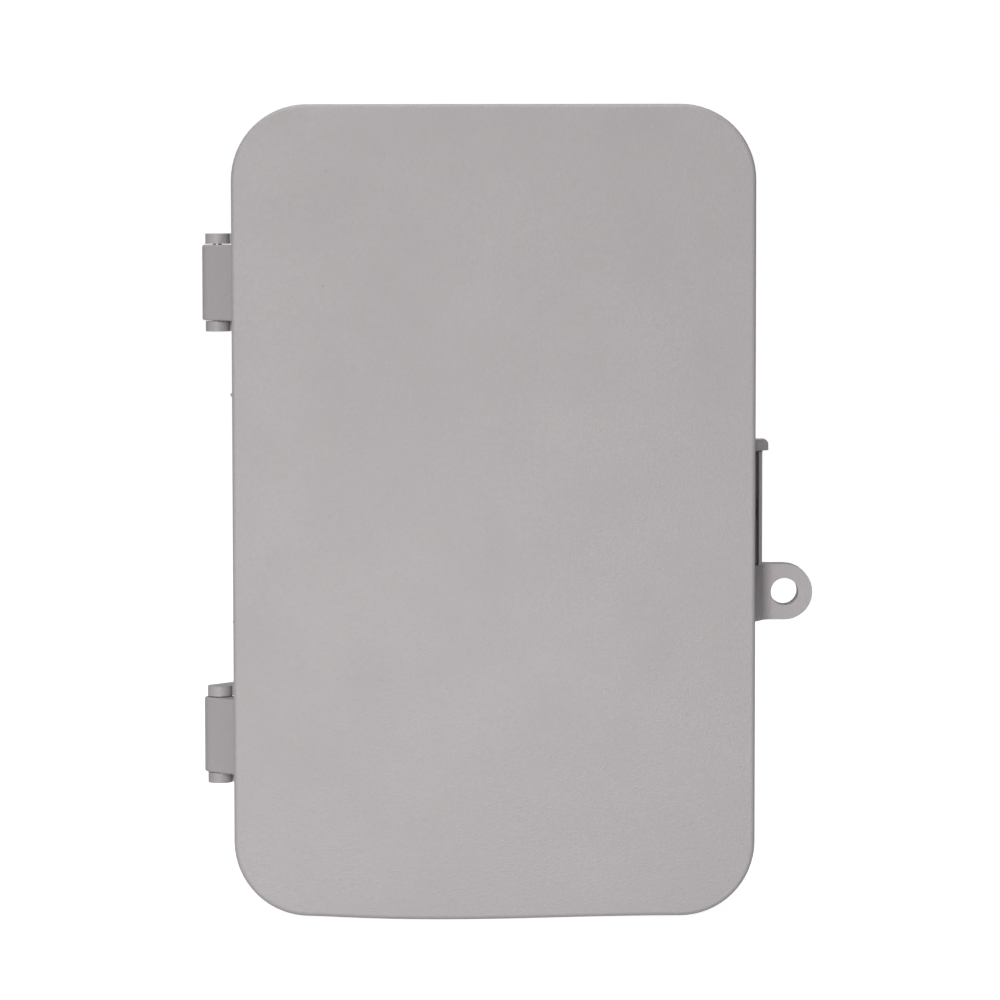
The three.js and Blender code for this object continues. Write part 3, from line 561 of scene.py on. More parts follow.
def knuckle(z):
    """A barrel with a web that slants forward to the door's side, and round top and bottom edges."""
    root = (-ROOT, WEB_FRONT)
    start = tangent((HINGE_X, PARTING), KNUCKLE_RADIUS, root, -1)
    barrel = arc(HINGE_X, PARTING, KNUCKLE_RADIUS, start, start - 4 * QUARTER + WEB_GAP, 40)
    plan = [root, (root[0], PARTING)] + barrel[::-1]
    bore = circle(HINGE_X, PARTING, PIN_BORE, 32)
    low, high = z - KNUCKLE_HALF, z + KNUCKLE_HALF
    solid = moulding(plan, low, high, PLAN, holes=[bore], edges=(0.7, 0.7), steps=4, hole_edges=(0.3, 0.3))
    return outwards(solid)


NIBS = (40.1, -38.7)
POINTED_NIB = [(0.5, -1.4), (0.5, 1.4), (0, 1.4), (-1.7, 0.7), (-1.2, -0.2), (0, -1.4)]
NIB_HALF, NIB_RADIUS, NIB_DEPTH = 1.2, 1.15, 2.4


def nib(z, pointed):
    """A small nib on the skirt's rear edge: a wedge with a sharp step, or a half round."""
    side = -DOOR_HALF_WIDTH
    if pointed:
        outline = [(side + u, z + v) for u, v in POINTED_NIB]
    else:
        outline = [(side + 0.5, z - NIB_HALF), (side + 0.5, z + NIB_HALF)]
        outline += arc(side, z, NIB_RADIUS, QUARTER, 3 * QUARTER, 8)
    return outwards(moulding(outline, PARTING - NIB_DEPTH, PARTING - 0.05, edges=(0.25, 0.25)))


TAB_X, TAB_Z, TAB_RADIUS, TAB_HOLE, TAB_FRONT, TAB_BACK = 101, -28.2, 9.7, 4.75, -99.2, -95.2
TAB_TOP = TAB_Z + TAB_RADIUS
CAP_BOTTOM, CAP_TOP, CAP_RIGHT, CAP_FRONT, CAP_BACK = 21.2, 25.1, 95.2, -100.5, -96.5
CAP_CORNER = 1.9
SLANT_TOP = -107.9  # the front of the slanted sides of the tab's rib and of the cap
BLANK = (-112, -90)  # from front to back of the blanks that outlines seen from the front are cut from
LATCH_AXIS = (91.5, -101)
BARREL_RADIUS, TRUNNION_RADIUS = 1.1, 0.75
SOCKET_RADIUS, SOCKET_DEPTH = 1.05, 2.7


def trunnion_socket(low, high):
    """The room that one of the latch's trunnions turns in."""
    profile = [(0, low), (SOCKET_RADIUS, low), (SOCKET_RADIUS, high), (0, high)]
    return outwards(turned(profile, "z", LATCH_AXIS, 24))


def tab_outline(root):
    end = arc(TAB_X, TAB_Z, TAB_RADIUS, -QUARTER, QUARTER, 32)
    return tidy_loop([(root, TAB_Z - TAB_RADIUS), *end, (root, TAB_TOP)])


def door_tab():
    """The padlock tab and the rib at its root, whose slanted side sweeps into the tab's face."""
    slant = [(ROOT, -108), (DOOR_HALF_WIDTH + 0.1, SLANT_TOP), (92.6, -102.9)]
    sweep = [(93.0, -101.6), (93.6, -100.6), (94.5, -99.8), (95.6, -99.35), (96.8, TAB_FRONT)]
    past_end = TAB_X + TAB_RADIUS + 1.3
    plan = slant + sweep + [(past_end, TAB_FRONT), (past_end, TAB_BACK), (ROOT, TAB_BACK)]
    block = outwards(moulding(plan, TAB_Z - 20, TAB_Z + 20, PLAN, edges=(0, 0)))
    hole = circle(TAB_X, TAB_Z, TAB_HOLE, 48)
    front = outwards(moulding(tab_outline(DOOR_HALF_WIDTH - 2), *BLANK, edges=(0, 0), holes=[hole]))
    solid = soften(combined("INTERSECT", block, front), 0.4, segments=3)
    return combined("DIFFERENCE", solid, trunnion_socket(TAB_TOP - SOCKET_DEPTH, TAB_TOP + 1))


def door_cap():
    """The cap over the latch bar. Its front slants back from the door's side."""
    slant = [(ROOT, -108), (ROOT + 1.3, SLANT_TOP), (CAP_RIGHT, CAP_FRONT)]
    plan = [(ROOT, CAP_BACK)] + slant + [(CAP_RIGHT, CAP_BACK)]
    block = outwards(moulding(plan, CAP_BOTTOM - 5, CAP_TOP + 5, PLAN, edges=(0, 0)))
    outline = rounded(ROOT - 1, CAP_RIGHT, CAP_BOTTOM, CAP_TOP, [0, 0, CAP_CORNER, 0])
    front = outwards(moulding(outline, *BLANK, edges=(0, 0)))
    solid = soften(combined("INTERSECT", block, front), 0.3, segments=3)
    return combined("DIFFERENCE", solid, trunnion_socket(CAP_BOTTOM - 1, CAP_BOTTOM + SOCKET_DEPTH))


door_parts = [door_pan(), door_rib(), door_tab(), door_cap()]
door_parts += [knuckle(z) for z in HINGES]
door_parts += [nib(NIBS[0], True), nib(NIBS[1], False)]
piece("door_moulding", joined(*door_parts), ENCLOSURE, "door", replaces="door_shell")

# ------------------------------------------------------------------ latch

END_GAP = 0.3  # between the bar's ends and what carries them
BAR_PLAN = [(91.3, -87.9), (91.3, -107.2), (91.7, -107.9), (92.1, -107.7), (92.75, -104.9), (92.9, -104.2),
            (92.9, -84.5), (92.6, -84.2), (91.8, -84.25), (90.2, -86.6), (90.2, -87.9)]
LOWER_PIN, UPPER_PIN, PIN_POINT = 2.3, 2.7, 0.6
SPRING_SHEET, SPRING_GAP = 0.16, 0.02
SPRING_STEPS = 24


def latch_bar():
    """The bar that rocks on its trunnions, with a finger edge in front and a hook behind."""
    low, high = TAB_TOP + END_GAP, CAP_BOTTOM - END_GAP
    blade = moulding(BAR_PLAN[::-1], low, high, PLAN, edges=(0.2, 0.2), steps=2)
    start, end = low + 0.1, high - 0.1
    profile = [(0, start), (BARREL_RADIUS, start), (BARREL_RADIUS, end), (0, end)]
    barrel = turned(profile, "z", LATCH_AXIS, 24)
    tip, top = low - LOWER_PIN, high + UPPER_PIN
    profile = [(0, tip), (PIN_POINT, tip), (TRUNNION_RADIUS, low - 2.1)]
    profile += [(TRUNNION_RADIUS, high + 2.5), (PIN_POINT, top), (0, top)]
    pins = turned(profile, "z", LATCH_AXIS, 24)
    return joined(outwards(blade), outwards(barrel), outwards(pins))


piece("latch_bar", latch_bar(), ENCLOSURE, "latch", replaces="latch_lever")


def leaf_spring():
    """A thin strip that bows from the door's side towards the bar, its ends resting on the door."""
    low, high = limits("latch_spring")
    bowed = []
    for i in range(SPRING_STEPS + 1):
        share = i / SPRING_STEPS
        lift = (high.x - low.x - SPRING_SHEET - 2 * SPRING_GAP) * math.sin(2 * QUARTER * share) ** 2
        bowed.append((low.x + SPRING_GAP + lift, low.z + (high.z - low.z) * share))
    outline = [(x + SPRING_SHEET, z) for x, z in bowed] + bowed[::-1]
    return outwards(moulding(outline, low.y, high.y, edges=(0, 0)))


leaf = piece("leaf_spring", leaf_spring(), zinc("blackened_spring", BLACK_STEEL, metallic=0.8), "door",
             "latch_spring", 35)
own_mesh(leaf)

# ------------------------------------------------------------------ materials of the inside


def rubber(name):
    """Moulded rubber with a fine dry bloom."""
    n = Nodes(name)
    bloom = n.spread(n.noise(120, detail=5, roughness=0.7), 0.45, 0.75)
    tone = n.blend(bloom, srgb(28, 28, 30), srgb(52, 52, 54))
    height = n.noise(2600, detail=3)
    rough = n.spread(bloom, 0, 1, 0.62, 0.82)
    return n.finish(base_color=tone, roughness=rough, normal=n.bump(height, 0.00003))


def paper_card(name):
    """Coated card: a slight mottle of fibres and a soft sheen."""
    n = Nodes(name)
    fibres = n.noise(1400, detail=5, roughness=0.7, vector=n.stretched(1, 1, 2.5))
    tone = n.blend(n.spread(fibres, *MID_NOISE), srgb(238, 236, 230), srgb(248, 247, 243))
    rough = n.spread(fibres, *MID_NOISE, 0.42, 0.55)
    return n.finish(base_color=tone, roughness=rough, normal=n.bump(fibres, 0.00001))


def solder_mask(name):
    """Green solder mask over a woven board, its tracks just raised."""
    n = Nodes(name)
    warp = n.noise(1500, vector=n.stretched(4, 1, 1))
    weft = n.noise(1500, vector=n.stretched(1, 1, 4))
    weave = n.math("ADD", warp, weft)
    tracks = n.cells(130, feature="DISTANCE_TO_EDGE", randomness=0.6).outputs["Distance"]
    track = n.spread(tracks, 0.04, 0.07, 1.0, 0.0)
    tone = n.blend(n.spread(weave, 0.7, 1.3), srgb(24, 88, 52), srgb(32, 102, 62))
    tone = n.blend(n.math("MULTIPLY", track, 0.5), tone, srgb(66, 138, 84))
    rough = n.spread(weave, 0.7, 1.3, 0.24, 0.38)
    return n.finish(base_color=tone, roughness=rough, normal=n.bump(track, 0.00003))


def crystal(name):
    """The grey-green glass of a liquid crystal display, with a faint grid of cells."""
    n = Nodes(name)
    tint = n.noise(30, detail=3)
    tone = n.blend(n.spread(tint, *MID_NOISE), srgb(142, 156, 128), srgb(154, 167, 138))
    grain = n.noise(2500, detail=2)
    rough = n.spread(grain, *MID_NOISE, 0.16, 0.26)
    return n.finish(base_color=tone, roughness=rough, normal=n.bump(grain, 0.000005))


def clear_window(name):
    """Clear moulded plastic with hair scratches and a light film of dust."""
    n = Nodes(name)
    scratches = n.noise(700, detail=3, vector=n.stretched(1, 1, 12))
    dust = n.noise(45, detail=5, roughness=0.7)
    tone = n.blend(n.spread(dust, 0.4, 0.7), srgb(244, 248, 248), srgb(228, 234, 232))
    rough = n.spread(n.math("MULTIPLY", scratches, dust), 0.15, 0.4, 0.04, 0.16)
    n.shader.inputs["Transmission Weight"].default_value = 1.0
    return n.finish(base_color=tone, roughness=rough, ior=1.49)


def taped(name):
    """Wrapped amber tape: overlapping turns with a varnished, uneven gloss."""
    n = Nodes(name)
    wave = {"Vector": n.place, "Scale": 60, "Distortion": 1.2, "Detail": 2}
    turns = n.add("ShaderNodeTexWave", wave, bands_direction="Z").outputs["Fac"]
    varnish = n.noise(140, detail=4)
    tone = n.blend(n.spread(varnish, *MID_NOISE), srgb(150, 82, 30), srgb(186, 108, 42))
    tone = n.blend(n.spread(turns, 0.0, 0.25, 0.6, 0.0), tone, srgb(92, 46, 18))
    rough = n.spread(varnish, *MID_NOISE, 0.18, 0.42)
    return n.finish(base_color=tone, roughness=rough, normal=n.bump(turns, 0.0002))


def laminated(name):
    """A stack of thin steel sheets seen from the edge, with a trace of varnish and rust."""
    n = Nodes(name)
    wave = {"Vector": n.place, "Scale": 320, "Distortion": 0.2}
    sheets = n.add("ShaderNodeTexWave", wave, bands_direction="Y").outputs["Fac"]
    rust = n.spread(n.noise(110, detail=5, roughness=0.7), 0.58, 0.72)
    tone = n.blend(n.spread(sheets, 0.1, 0.6), srgb(48, 50, 53), srgb(112, 114, 116))
    tone = n.blend(n.math("MULTIPLY", rust, 0.5), tone, srgb(112, 68, 44))
    rough = n.spread(sheets, 0, 1, 0.36, 0.6)
    return n.finish(base_color=tone, metallic=0.7, roughness=rough, normal=n.bump(sheets, 0.0001))


MARKED_WIRE = (-0.0368, -0.0364)  # metres along x, where the red of the ribbon's edge wire fades out


def ribbon_jacket(name):
    """Grey ribbon cable insulation, one edge wire marked red."""
    n = Nodes(name)
    axes = n.add("ShaderNodeSeparateXYZ", {"Vector": n.place})
    edge = n.spread(axes.outputs["X"], *MARKED_WIRE, 1.0, 0.0)
    film = n.noise(300, detail=4)
    tone = n.blend(n.spread(film, *MID_NOISE), srgb(150, 153, 155), srgb(166, 169, 171))
    tone = n.blend(edge, tone, srgb(158, 42, 38))
    rough = n.spread(film, *MID_NOISE, 0.38, 0.5)
    return n.finish(base_color=tone, roughness=rough, normal=n.bump(film, 0.00002))


def ink(name, colour):
    """Screen-printed ink, a little uneven where the screen left it thin."""
    n = Nodes(name)
    thin = n.noise(1800, detail=3)
    tone = n.blend(n.spread(thin, 0.35, 0.6), shade(colour, 1.12), colour)
    rough = n.spread(thin, *MID_NOISE, 0.45, 0.6)
    return n.finish(base_color=tone, roughness=rough, normal=n.bump(thin, 0.000005))


LOOKS = {
    "enclosure": ENCLOSURE,
    "panel": moulded("panel_plastic", srgb(200, 200, 196), roughness=0.46, grain=2200, depth=0.00004,
                     mottle=0.025),
    "dark_plastic": moulded("dark_plastic", srgb(50, 54, 57), roughness=0.42, grain=2400, depth=0.00004,
                            mottle=0.06),
    "key": moulded("key_plastic", srgb(68, 73, 77), roughness=0.5, grain=3000, depth=0.00003, mottle=0.05),
    "start_key": moulded("start_key_plastic", srgb(46, 125, 79), roughness=0.48, grain=3000, depth=0.00003,
                         mottle=0.05),
    "terminal": moulded("terminal_plastic", srgb(45, 122, 75), roughness=0.3, grain=1800, depth=0.00002,
                        mottle=0.05),
    "mains": moulded("mains_plastic", srgb(143, 147, 149), roughness=0.5, grain=1900, depth=0.00005,
                     mottle=0.035),
    "lead": moulded("lead_insulation", srgb(216, 184, 44), roughness=0.36, grain=1500, depth=0.00001,
                    mottle=0.05),
    "rubber": rubber("moulded_rubber"),
    "board": solder_mask("solder_mask"),
    "display": crystal("display_glass"),
    "window": clear_window("clear_window"),
    "card": paper_card("guide_card_stock"),
    "winding": taped("winding_tape"),
    "ribbon": ribbon_jacket("ribbon_jacket"),
    "steel": zinc("zinc_plate"),
    "core": laminated("laminated_core"),
}
DARK_INK = ink("dark_ink", srgb(46, 50, 54))
WHITE_INK = ink("white_ink", srgb(226, 227, 224))
BLUE_INK = ink("blue_ink", srgb(44, 92, 138))
SEGMENT_INK = ink("segment_ink", srgb(16, 20, 16))

# ------------------------------------------------------------------ pieces that keep a CAD node's shape

CAD_WELD, LETTER_WELD = 1e-3, 1e-5  # vertices nearer than this are joined
INK_SUNK = 0.02  # how far ink reaches into its face
DISPLAY_INK, CARD_INK = 0.08, 0.04


def cad_shape(node):
    """A CAD node's shape in millimetres, the corners of its triangles joined."""
    bm = bmesh.new()
    bm.from_mesh(frame["nodes"][node].data)
    bm.transform(Matrix.Scale(1 / MM, 4))
    bmesh.ops.remove_doubles(bm, verts=bm.verts, dist=CAD_WELD)
    return bm


def dressed(node, width, segments=2, sharp=40, sharpest=SHARP_EDGE):
    """The CAD node's shape with moulded edges, in its own material."""
    bm = soften(cad_shape(node), width, segments, sharpest)
    slot = SLOT_OF[node]
    piece(node + "_made", bm, LOOKS[slot], BODY_OF[node], node, sharp)


def flat_print(name, shapes, material, body):
    """Ink on a face: thin closed shapes in one piece."""
    piece(name, joined(*shapes), material, body, sharp=30)


def mark(outline, level, thickness=0.05, toward=-1):
    """One shape of ink on a face at a level of y. toward is the side that the face looks to."""
    low, high = sorted((level - toward * INK_SUNK, level + toward * thickness))
    return outwards(moulding(outline, low, high, edges=(0, 0)))


def bar(x0, x1, z0, z1):
    return [(x0, z0), (x1, z0), (x1, z1), (x0, z1)]


def slanted_bar(centre, angle, near, far, width):
    """A bar that points away from a centre, between two distances."""
    along = Vector((math.cos(angle), math.sin(angle)))
    side = Vector((-along.y, along.x)) * width / 2
    start = Vector(centre)
    corners = [along * near - side, along * far - side, along * far + side, along * near + side]
    return [tuple(start + c) for c in corners]


def figures(text, size, x, z, level, toward=-1):
    """Plain figures centred on a point of a face, as thin solids."""
    curve = bpy.data.curves.new("figures", "FONT")
    curve.body = text
    curve.size = size
    curve.extrude = 0.03
    curve.align_x, curve.align_y = "CENTER", "CENTER"
    obj = bpy.data.objects.new("figures", curve)
    bpy.context.scene.collection.objects.link(obj)
    mesh = bpy.data.meshes.new_from_object(obj.evaluated_get(bpy.context.evaluated_depsgraph_get()))
    bpy.data.objects.remove(obj)
    bpy.data.curves.remove(curve)
    bm = bmesh.new()
    bm.from_mesh(mesh)
    bpy.data.meshes.remove(mesh)
    bmesh.ops.remove_doubles(bm, verts=bm.verts, dist=LETTER_WELD)
    upright = Matrix(((-toward, 0, 0, x), (0, 0, toward, level), (0, 1, 0, z), (0, 0, 0, 1)))
    bm.transform(upright)
    return outwards(bm)


# ------------------------------------------------------------------ case

dressed("case_shell", 0.5, segments=3)
for pin in ("upper_hinge_pin", "lower_hinge_pin"):
    dressed(pin, 0.25)
dressed("conduit_plug", 0.4)
dressed("wire_grommet", 0.5, segments=3)
dressed("door_gasket", 0.7, segments=3)

# ------------------------------------------------------------------ control panel

PANEL_FRONT = limits("panel_fascia")[0].y
DIAL_CENTRE = (0, 14)
SCALE_STEPS, STEPS_PER_HOUR = 36, 3
SCALE_INNER, HOUR_OUTER, STEP_OUTER = 31.4, 34.6, 33.2
HOUR_WIDTH, STEP_WIDTH = 0.6, 0.35
HOUR_RADIUS, HOUR_SIZE = 37.6, 4.2
LINE_HALF, PANEL_LINES = 70, [(71.4, 71.9), (119.4, 120.2)]
KEY_LINE_HALF, KEY_LINE = 6, (50.6, 51.2)

dressed("panel_fascia", 0.35)
dressed("panel_back_cover", 0.5)
dressed("control_board", 0.15)
dressed("dial_switch", 0.3)
dressed("backup_cell", 0.3, segments=3)
dressed("display_module", 0.2)
dressed("display_window", 0.2)

scale_marks = []
for step in range(SCALE_STEPS):
    angle = QUARTER - step * 4 * QUARTER / SCALE_STEPS
    far, width = (STEP_OUTER, STEP_WIDTH) if step % STEPS_PER_HOUR else (HOUR_OUTER, HOUR_WIDTH)
    scale_marks.append(mark(slanted_bar(DIAL_CENTRE, angle, SCALE_INNER, far, width), PANEL_FRONT))
for hour in range(12):
    angle = QUARTER - hour * 4 * QUARTER / 12
    x, z = DIAL_CENTRE[0] + HOUR_RADIUS * math.cos(angle), DIAL_CENTRE[1] + HOUR_RADIUS * math.sin(angle)
    scale_marks.append(figures(str(hour or 12), HOUR_SIZE, x, z, PANEL_FRONT))
flat_print("dial_scale_print", scale_marks, DARK_INK, "case")

frame_marks = []
for node in ("key_back", "key_minus", "key_plus", "key_next"):
    x = middle(node)[0]
    frame_marks.append(mark(bar(x - KEY_LINE_HALF, x + KEY_LINE_HALF, *KEY_LINE), PANEL_FRONT))
for line in PANEL_LINES:
    frame_marks.append(mark(bar(-LINE_HALF, LINE_HALF, *line), PANEL_FRONT))
flat_print("panel_line_print", frame_marks, BLUE_INK, "case")

LIT_BARS = {"0": "abcdef", "1": "bc", "2": "abged", "3": "abgcd"}
DIGIT_WIDTH, DIGIT_HEIGHT, DIGIT_BOTTOM = 8.4, 17, 87.4
BAR_THICK, BAR_GAP = 1.7, 0.35
COLON_X, COLON_HEIGHTS, COLON_RADIUS = -0.3, (92.4, 99.4), 0.9
DAYS, DAY_PITCH = 14, 5.2
FIRST_DAY, DAY_HEIGHTS = (-36, -32.6), (83.2, 84.4)


def digit(figure, x, z, level):
    """One seven-bar figure with gaps between its bars."""
    half, slant = DIGIT_HEIGHT / 2, BAR_THICK / 2
    near, far = x + BAR_GAP, x + DIGIT_WIDTH - BAR_GAP

    def level_bar(zc):
        below = [(near + slant, zc), (near + BAR_THICK, zc - slant), (far - BAR_THICK, zc - slant)]
        return below + [(far - slant, zc), (far - BAR_THICK, zc + slant), (near + BAR_THICK, zc + slant)]

    def upright_bar(xc, z0):
        low, high = z0 + BAR_GAP, z0 + half - BAR_GAP
        right_side = [(xc, low), (xc + slant, low + slant), (xc + slant, high - slant)]
        return right_side + [(xc, high), (xc - slant, high - slant), (xc - slant, low + slant)]

    left, right = x + slant, x + DIGIT_WIDTH - slant
    bars = {
        "a": level_bar(z + DIGIT_HEIGHT), "g": level_bar(z + half), "d": level_bar(z),
        "f": upright_bar(left, z + half), "b": upright_bar(right, z + half),
        "e": upright_bar(left, z), "c": upright_bar(right, z),
    }
    return [mark(bars[k], level, DISPLAY_INK) for k in LIT_BARS[figure]]


display_front = limits("display_module")[0].y
shown = []
for figure, x in zip("1230", (-26, -13.5, 4.5, 17)):
    shown += digit(figure, x, DIGIT_BOTTOM, display_front)
shown += [mark(circle(COLON_X, z, COLON_RADIUS, 12), display_front, DISPLAY_INK) for z in COLON_HEIGHTS]
for i in range(DAYS):
    x0, x1 = [x + DAY_PITCH * i for x in FIRST_DAY]
    shown.append(mark(bar(x0, x1, *DAY_HEIGHTS), display_front, DISPLAY_INK))
flat_print("display_figures", shown, SEGMENT_INK, "case")

# ------------------------------------------------------------------ programme dial

DISC_FRONT = -94.9
DISC_PROFILE = [(4, -91.4), (29.7, -91.4), (30, -91.7), (30, -93.6), (29.4, -94.5), (28, DISC_FRONT),
                (4, DISC_FRONT)]
HUB_PROFILE = [(23, -94.6), (22.9, -95.6), (21.7, -100.6), (21.3, -101.3), (20.6, -101.6)]
FLUTES, FLUTE_DEPTH = 36, 0.7
GRIP_HALF, GRIP_LOW, GRIP_HIGH, GRIP_CORNER, GRIP_BACK = 3.4, -5, 35, 3.2, -101.2
SHAFT_RADIUS, SHAFT_END, SHAFT_CHAMFER, SHAFT_FRONT = 3, 2.6, 0.4, -94.8


def fluted(centre, radius, count, depth, steps=6):
    """A round outline with shallow finger flutes."""
    total = count * steps
    points = []
    for i in range(total):
        r = radius - depth * (0.5 - 0.5 * math.cos(4 * QUARTER * i / steps)) ** 2
        angle = 4 * QUARTER * i / total
        points.append((centre[0] + r * math.cos(angle), centre[1] + r * math.sin(angle)))
    return points


def dial_knob():
    """The skirt, the fluted hub that tapers forward, the grip bar across it and the shaft behind."""
    low, high = limits("program_dial")
    skirt = turned(DISC_PROFILE, "y", DIAL_CENTRE, 128)
    hub = bmesh.new()
    loft(hub, [ring(hub, fluted(DIAL_CENTRE, r, FLUTES, FLUTE_DEPTH), y, FRONT_VIEW) for r, y in HUB_PROFILE])
    outline = rounded(-GRIP_HALF, GRIP_HALF, GRIP_LOW, GRIP_HIGH, GRIP_CORNER, 6)
    grip = moulding(outline, low.y, GRIP_BACK, edges=(0.9, 0), steps=4)
    end = [(SHAFT_RADIUS, high.y - SHAFT_CHAMFER), (SHAFT_END, high.y), (0, high.y)]
    shaft = turned([(0, SHAFT_FRONT), (SHAFT_RADIUS, SHAFT_FRONT)] + end, "y", DIAL_CENTRE, 32)
    return joined(outwards(skirt), outwards(hub), outwards(grip), outwards(shaft))


piece("dial_knob", dial_knob(), LOOKS["dark_plastic"], "program_dial", "program_dial", 35)
dial_front = limits("program_dial")[0].y
pointer = [mark(bar(-0.6, 0.6, 18, 32.6), dial_front)]
pointer += [mark(slanted_bar(DIAL_CENTRE, QUARTER, 24.6, 28.2, 1.2), DISC_FRONT)]
flat_print("dial_pointer_print", pointer, WHITE_INK, "program_dial")

# ------------------------------------------------------------------ keys and switch

ARROW = [(3, 0), (-1.6, 2.7), (-1.6, -2.7)]
TRIANGLE = [(3.2, 0), (-2, 3), (-2, -3)]
SIGN_REACH, STROKE_HALF = 3, 0.5  # of minus and plus
DROP_TIP, DROP_LOW, DROP_RADIUS, DROP_TURN = 4, 0.6, 2.2, 2.6


def key_signs():
    """The sign on each key: arrows, minus and plus, a drop and a start triangle."""
    signs = {}
    for node, turn in (("key_back", -1), ("key_next", 1)):
        x, z = middle(node)
        head = [(x + turn * u, z + v) for u, v in ARROW]
        signs[node] = [head if turn < 0 else head[::-1]]
    for node in ("key_minus", "key_plus"):
        x, z = middle(node)
        signs[node] = [bar(x - SIGN_REACH, x + SIGN_REACH, z - STROKE_HALF, z + STROKE_HALF)]
        if node == "key_plus":
            for z0, z1 in ((z + STROKE_HALF, z + SIGN_REACH), (z - SIGN_REACH, z - STROKE_HALF)):
                signs[node].append(bar(x - STROKE_HALF, x + STROKE_HALF, z0, z1))
    x, z = middle("key_manual")
    belly = arc(x, z - DROP_LOW, DROP_RADIUS, 3 * QUARTER - DROP_TURN, 3 * QUARTER + DROP_TURN, 16)
    signs["key_manual"] = [[(x, z + DROP_TIP)] + belly]
    x, z = middle("key_start")
    signs["key_start"] = [[(x + u, z + v) for u, v in TRIANGLE]]
    return signs


for node, outlines in key_signs().items():
    dressed(node, 0.6, segments=3)
    signs = [mark(outline, limits(node)[0].y) for outline in outlines]
    flat_print(node + "_sign", signs, WHITE_INK, BODY_OF[node])
dressed("sensor_switch", 0.35, segments=3)

# ------------------------------------------------------------------ screws

DOME = [(0.45, 0.1), (0.8, 0.45), (0.96, 0.8), (1, 1)]  # share of the radius, share of the rise
HEAD_RISE, SHANK_RADIUS, HEAD_HEIGHT = 0.8, 1.2, 2.0  # at most
HEAD_CHAMFER, POINT_LENGTH, RECESS_DEPTH = 0.12, 0.6, 1.1
CROSS = [(0.13, 0.58), (0.58, 0.13)]  # half sizes of the driver's bars, as shares of the radius
STRAIGHT = [(0.14, 1.1)]


def screw(node, recess):
    """A screw with a low domed head that is cut for a driver, on a plain shank with a pointed end."""
    low, high = limits(node)
    x, z = middle(node)
    front, back = low.y, high.y
    r = (high.x - low.x) / 2
    rise = min(HEAD_RISE, (back - front) * 0.2)
    shank = min(SHANK_RADIUS, r * 0.5)
    neck = front + min(HEAD_HEIGHT, (back - front) * 0.45)
    profile = [(0, front)] + [(r * out, front + rise * down) for out, down in DOME]
    profile += [(r, neck - HEAD_CHAMFER), (r - HEAD_CHAMFER, neck), (shank, neck)]
    profile += [(shank, back - POINT_LENGTH), (shank * 0.5, back), (0, back)]
    head = turned(profile, "y", (x, z), 40)
    depth = min(RECESS_DEPTH, rise + 0.5)
    bars = [bar(x - r * w, x + r * w, z - r * h, z + r * h) for w, h in recess]
    cuts = [outwards(moulding(outline, front - 1, front + depth, edges=(0, 0))) for outline in bars]
    return combined("DIFFERENCE", outwards(head), *cuts)


for node in [n for n in BODY_OF if n.startswith("panel_screw_") or n == "mains_cover_screw"]:
    piece(node + "_made", screw(node, CROSS), LOOKS["steel"], "case", node, 35)
for node in [n for n in BODY_OF if n.startswith("terminal_screw_")]:
    piece(node + "_made", screw(node, STRAIGHT), LOOKS["steel"], "case", node, 35)

# ------------------------------------------------------------------ wiring

WIRES, WIRE_STEPS, WIRE_HALF = 10, 6, 0.48
RIBBON_ROUTE = [(-68.5, -31.4), (-68.5, -40), (-64, -50), (-56, -56), (-53.5, -63.7)]  # y and z
NUMBER_SIZE, NUMBER_DROP = 3, 1.4

dressed("terminal_shelf", 0.4)
dressed("terminal_block", 0.25)
dressed("mains_cover", 0.6, segments=3)
dressed("transformer_core", 0.3)
dressed("transformer_coil", 0.8, segments=3)
dressed("transformer_strap_upper", 0.25)
dressed("transformer_strap_lower", 0.25)
for lead in ("secondary_lead_1", "secondary_lead_2"):
    dressed(lead, 0.1, sharp=60, sharpest=80)


def ribbon():
    """Ten insulated wires side by side, swept from the panel's tray down to the terminals."""
    low, high = limits("ribbon_cable")
    width = high.x - low.x
    pitch = width / WIRES
    top = []
    for i in range(WIRES * WIRE_STEPS + 1):
        share = i / WIRE_STEPS
        swell = 0.55 + 0.45 * abs(math.sin(2 * QUARTER * share))
        top.append((share * pitch - width / 2, WIRE_HALF * swell))
    section = top + [(u, -v) for u, v in reversed(top)]
    x = middle("ribbon_cable")[0]
    path = smooth_path([(x, y, z) for y, z in RIBBON_ROUTE], 8)
    return outwards(swept(path, section, up=(0, 1, 0)))


piece("ribbon_made", ribbon(), LOOKS["ribbon"], "case", "ribbon_cable", 50)

block_low, block_high = limits("terminal_block")
numbers = []
for number in range(1, 11):
    x = middle("terminal_screw_%d" % number)[0]
    numbers.append(figures(str(number), NUMBER_SIZE, x, block_high.z - NUMBER_DROP, block_low.y))
flat_print("terminal_number_print", numbers, WHITE_INK, "case")

# ------------------------------------------------------------------ guide card

dressed("guide_card", 0.1)
CARD_FACE = limits("guide_card")[1].y
CARD_HALF, RULE = 58, 0.4
TABLE_TOP, ROWS, ROW_PITCH = 40, 8, 14
COLUMNS = (-CARD_HALF, -28, 2, 32, CARD_HALF - RULE)
HEADER = (84, 90)
NOTE_LINES, NOTE_PARTS = 4, 3
NOTE_LEFT, NOTE_PITCH, NOTE_LENGTH, NOTE_DROP = -50, 36, 26, 7
FIRST_NOTE = (74, 75.2)


def on_card(x0, x1, z0, z1):
    """A bar of ink on the card's face, which looks to the rear."""
    return mark(bar(x0, x1, z0, z1), CARD_FACE, CARD_INK, 1)


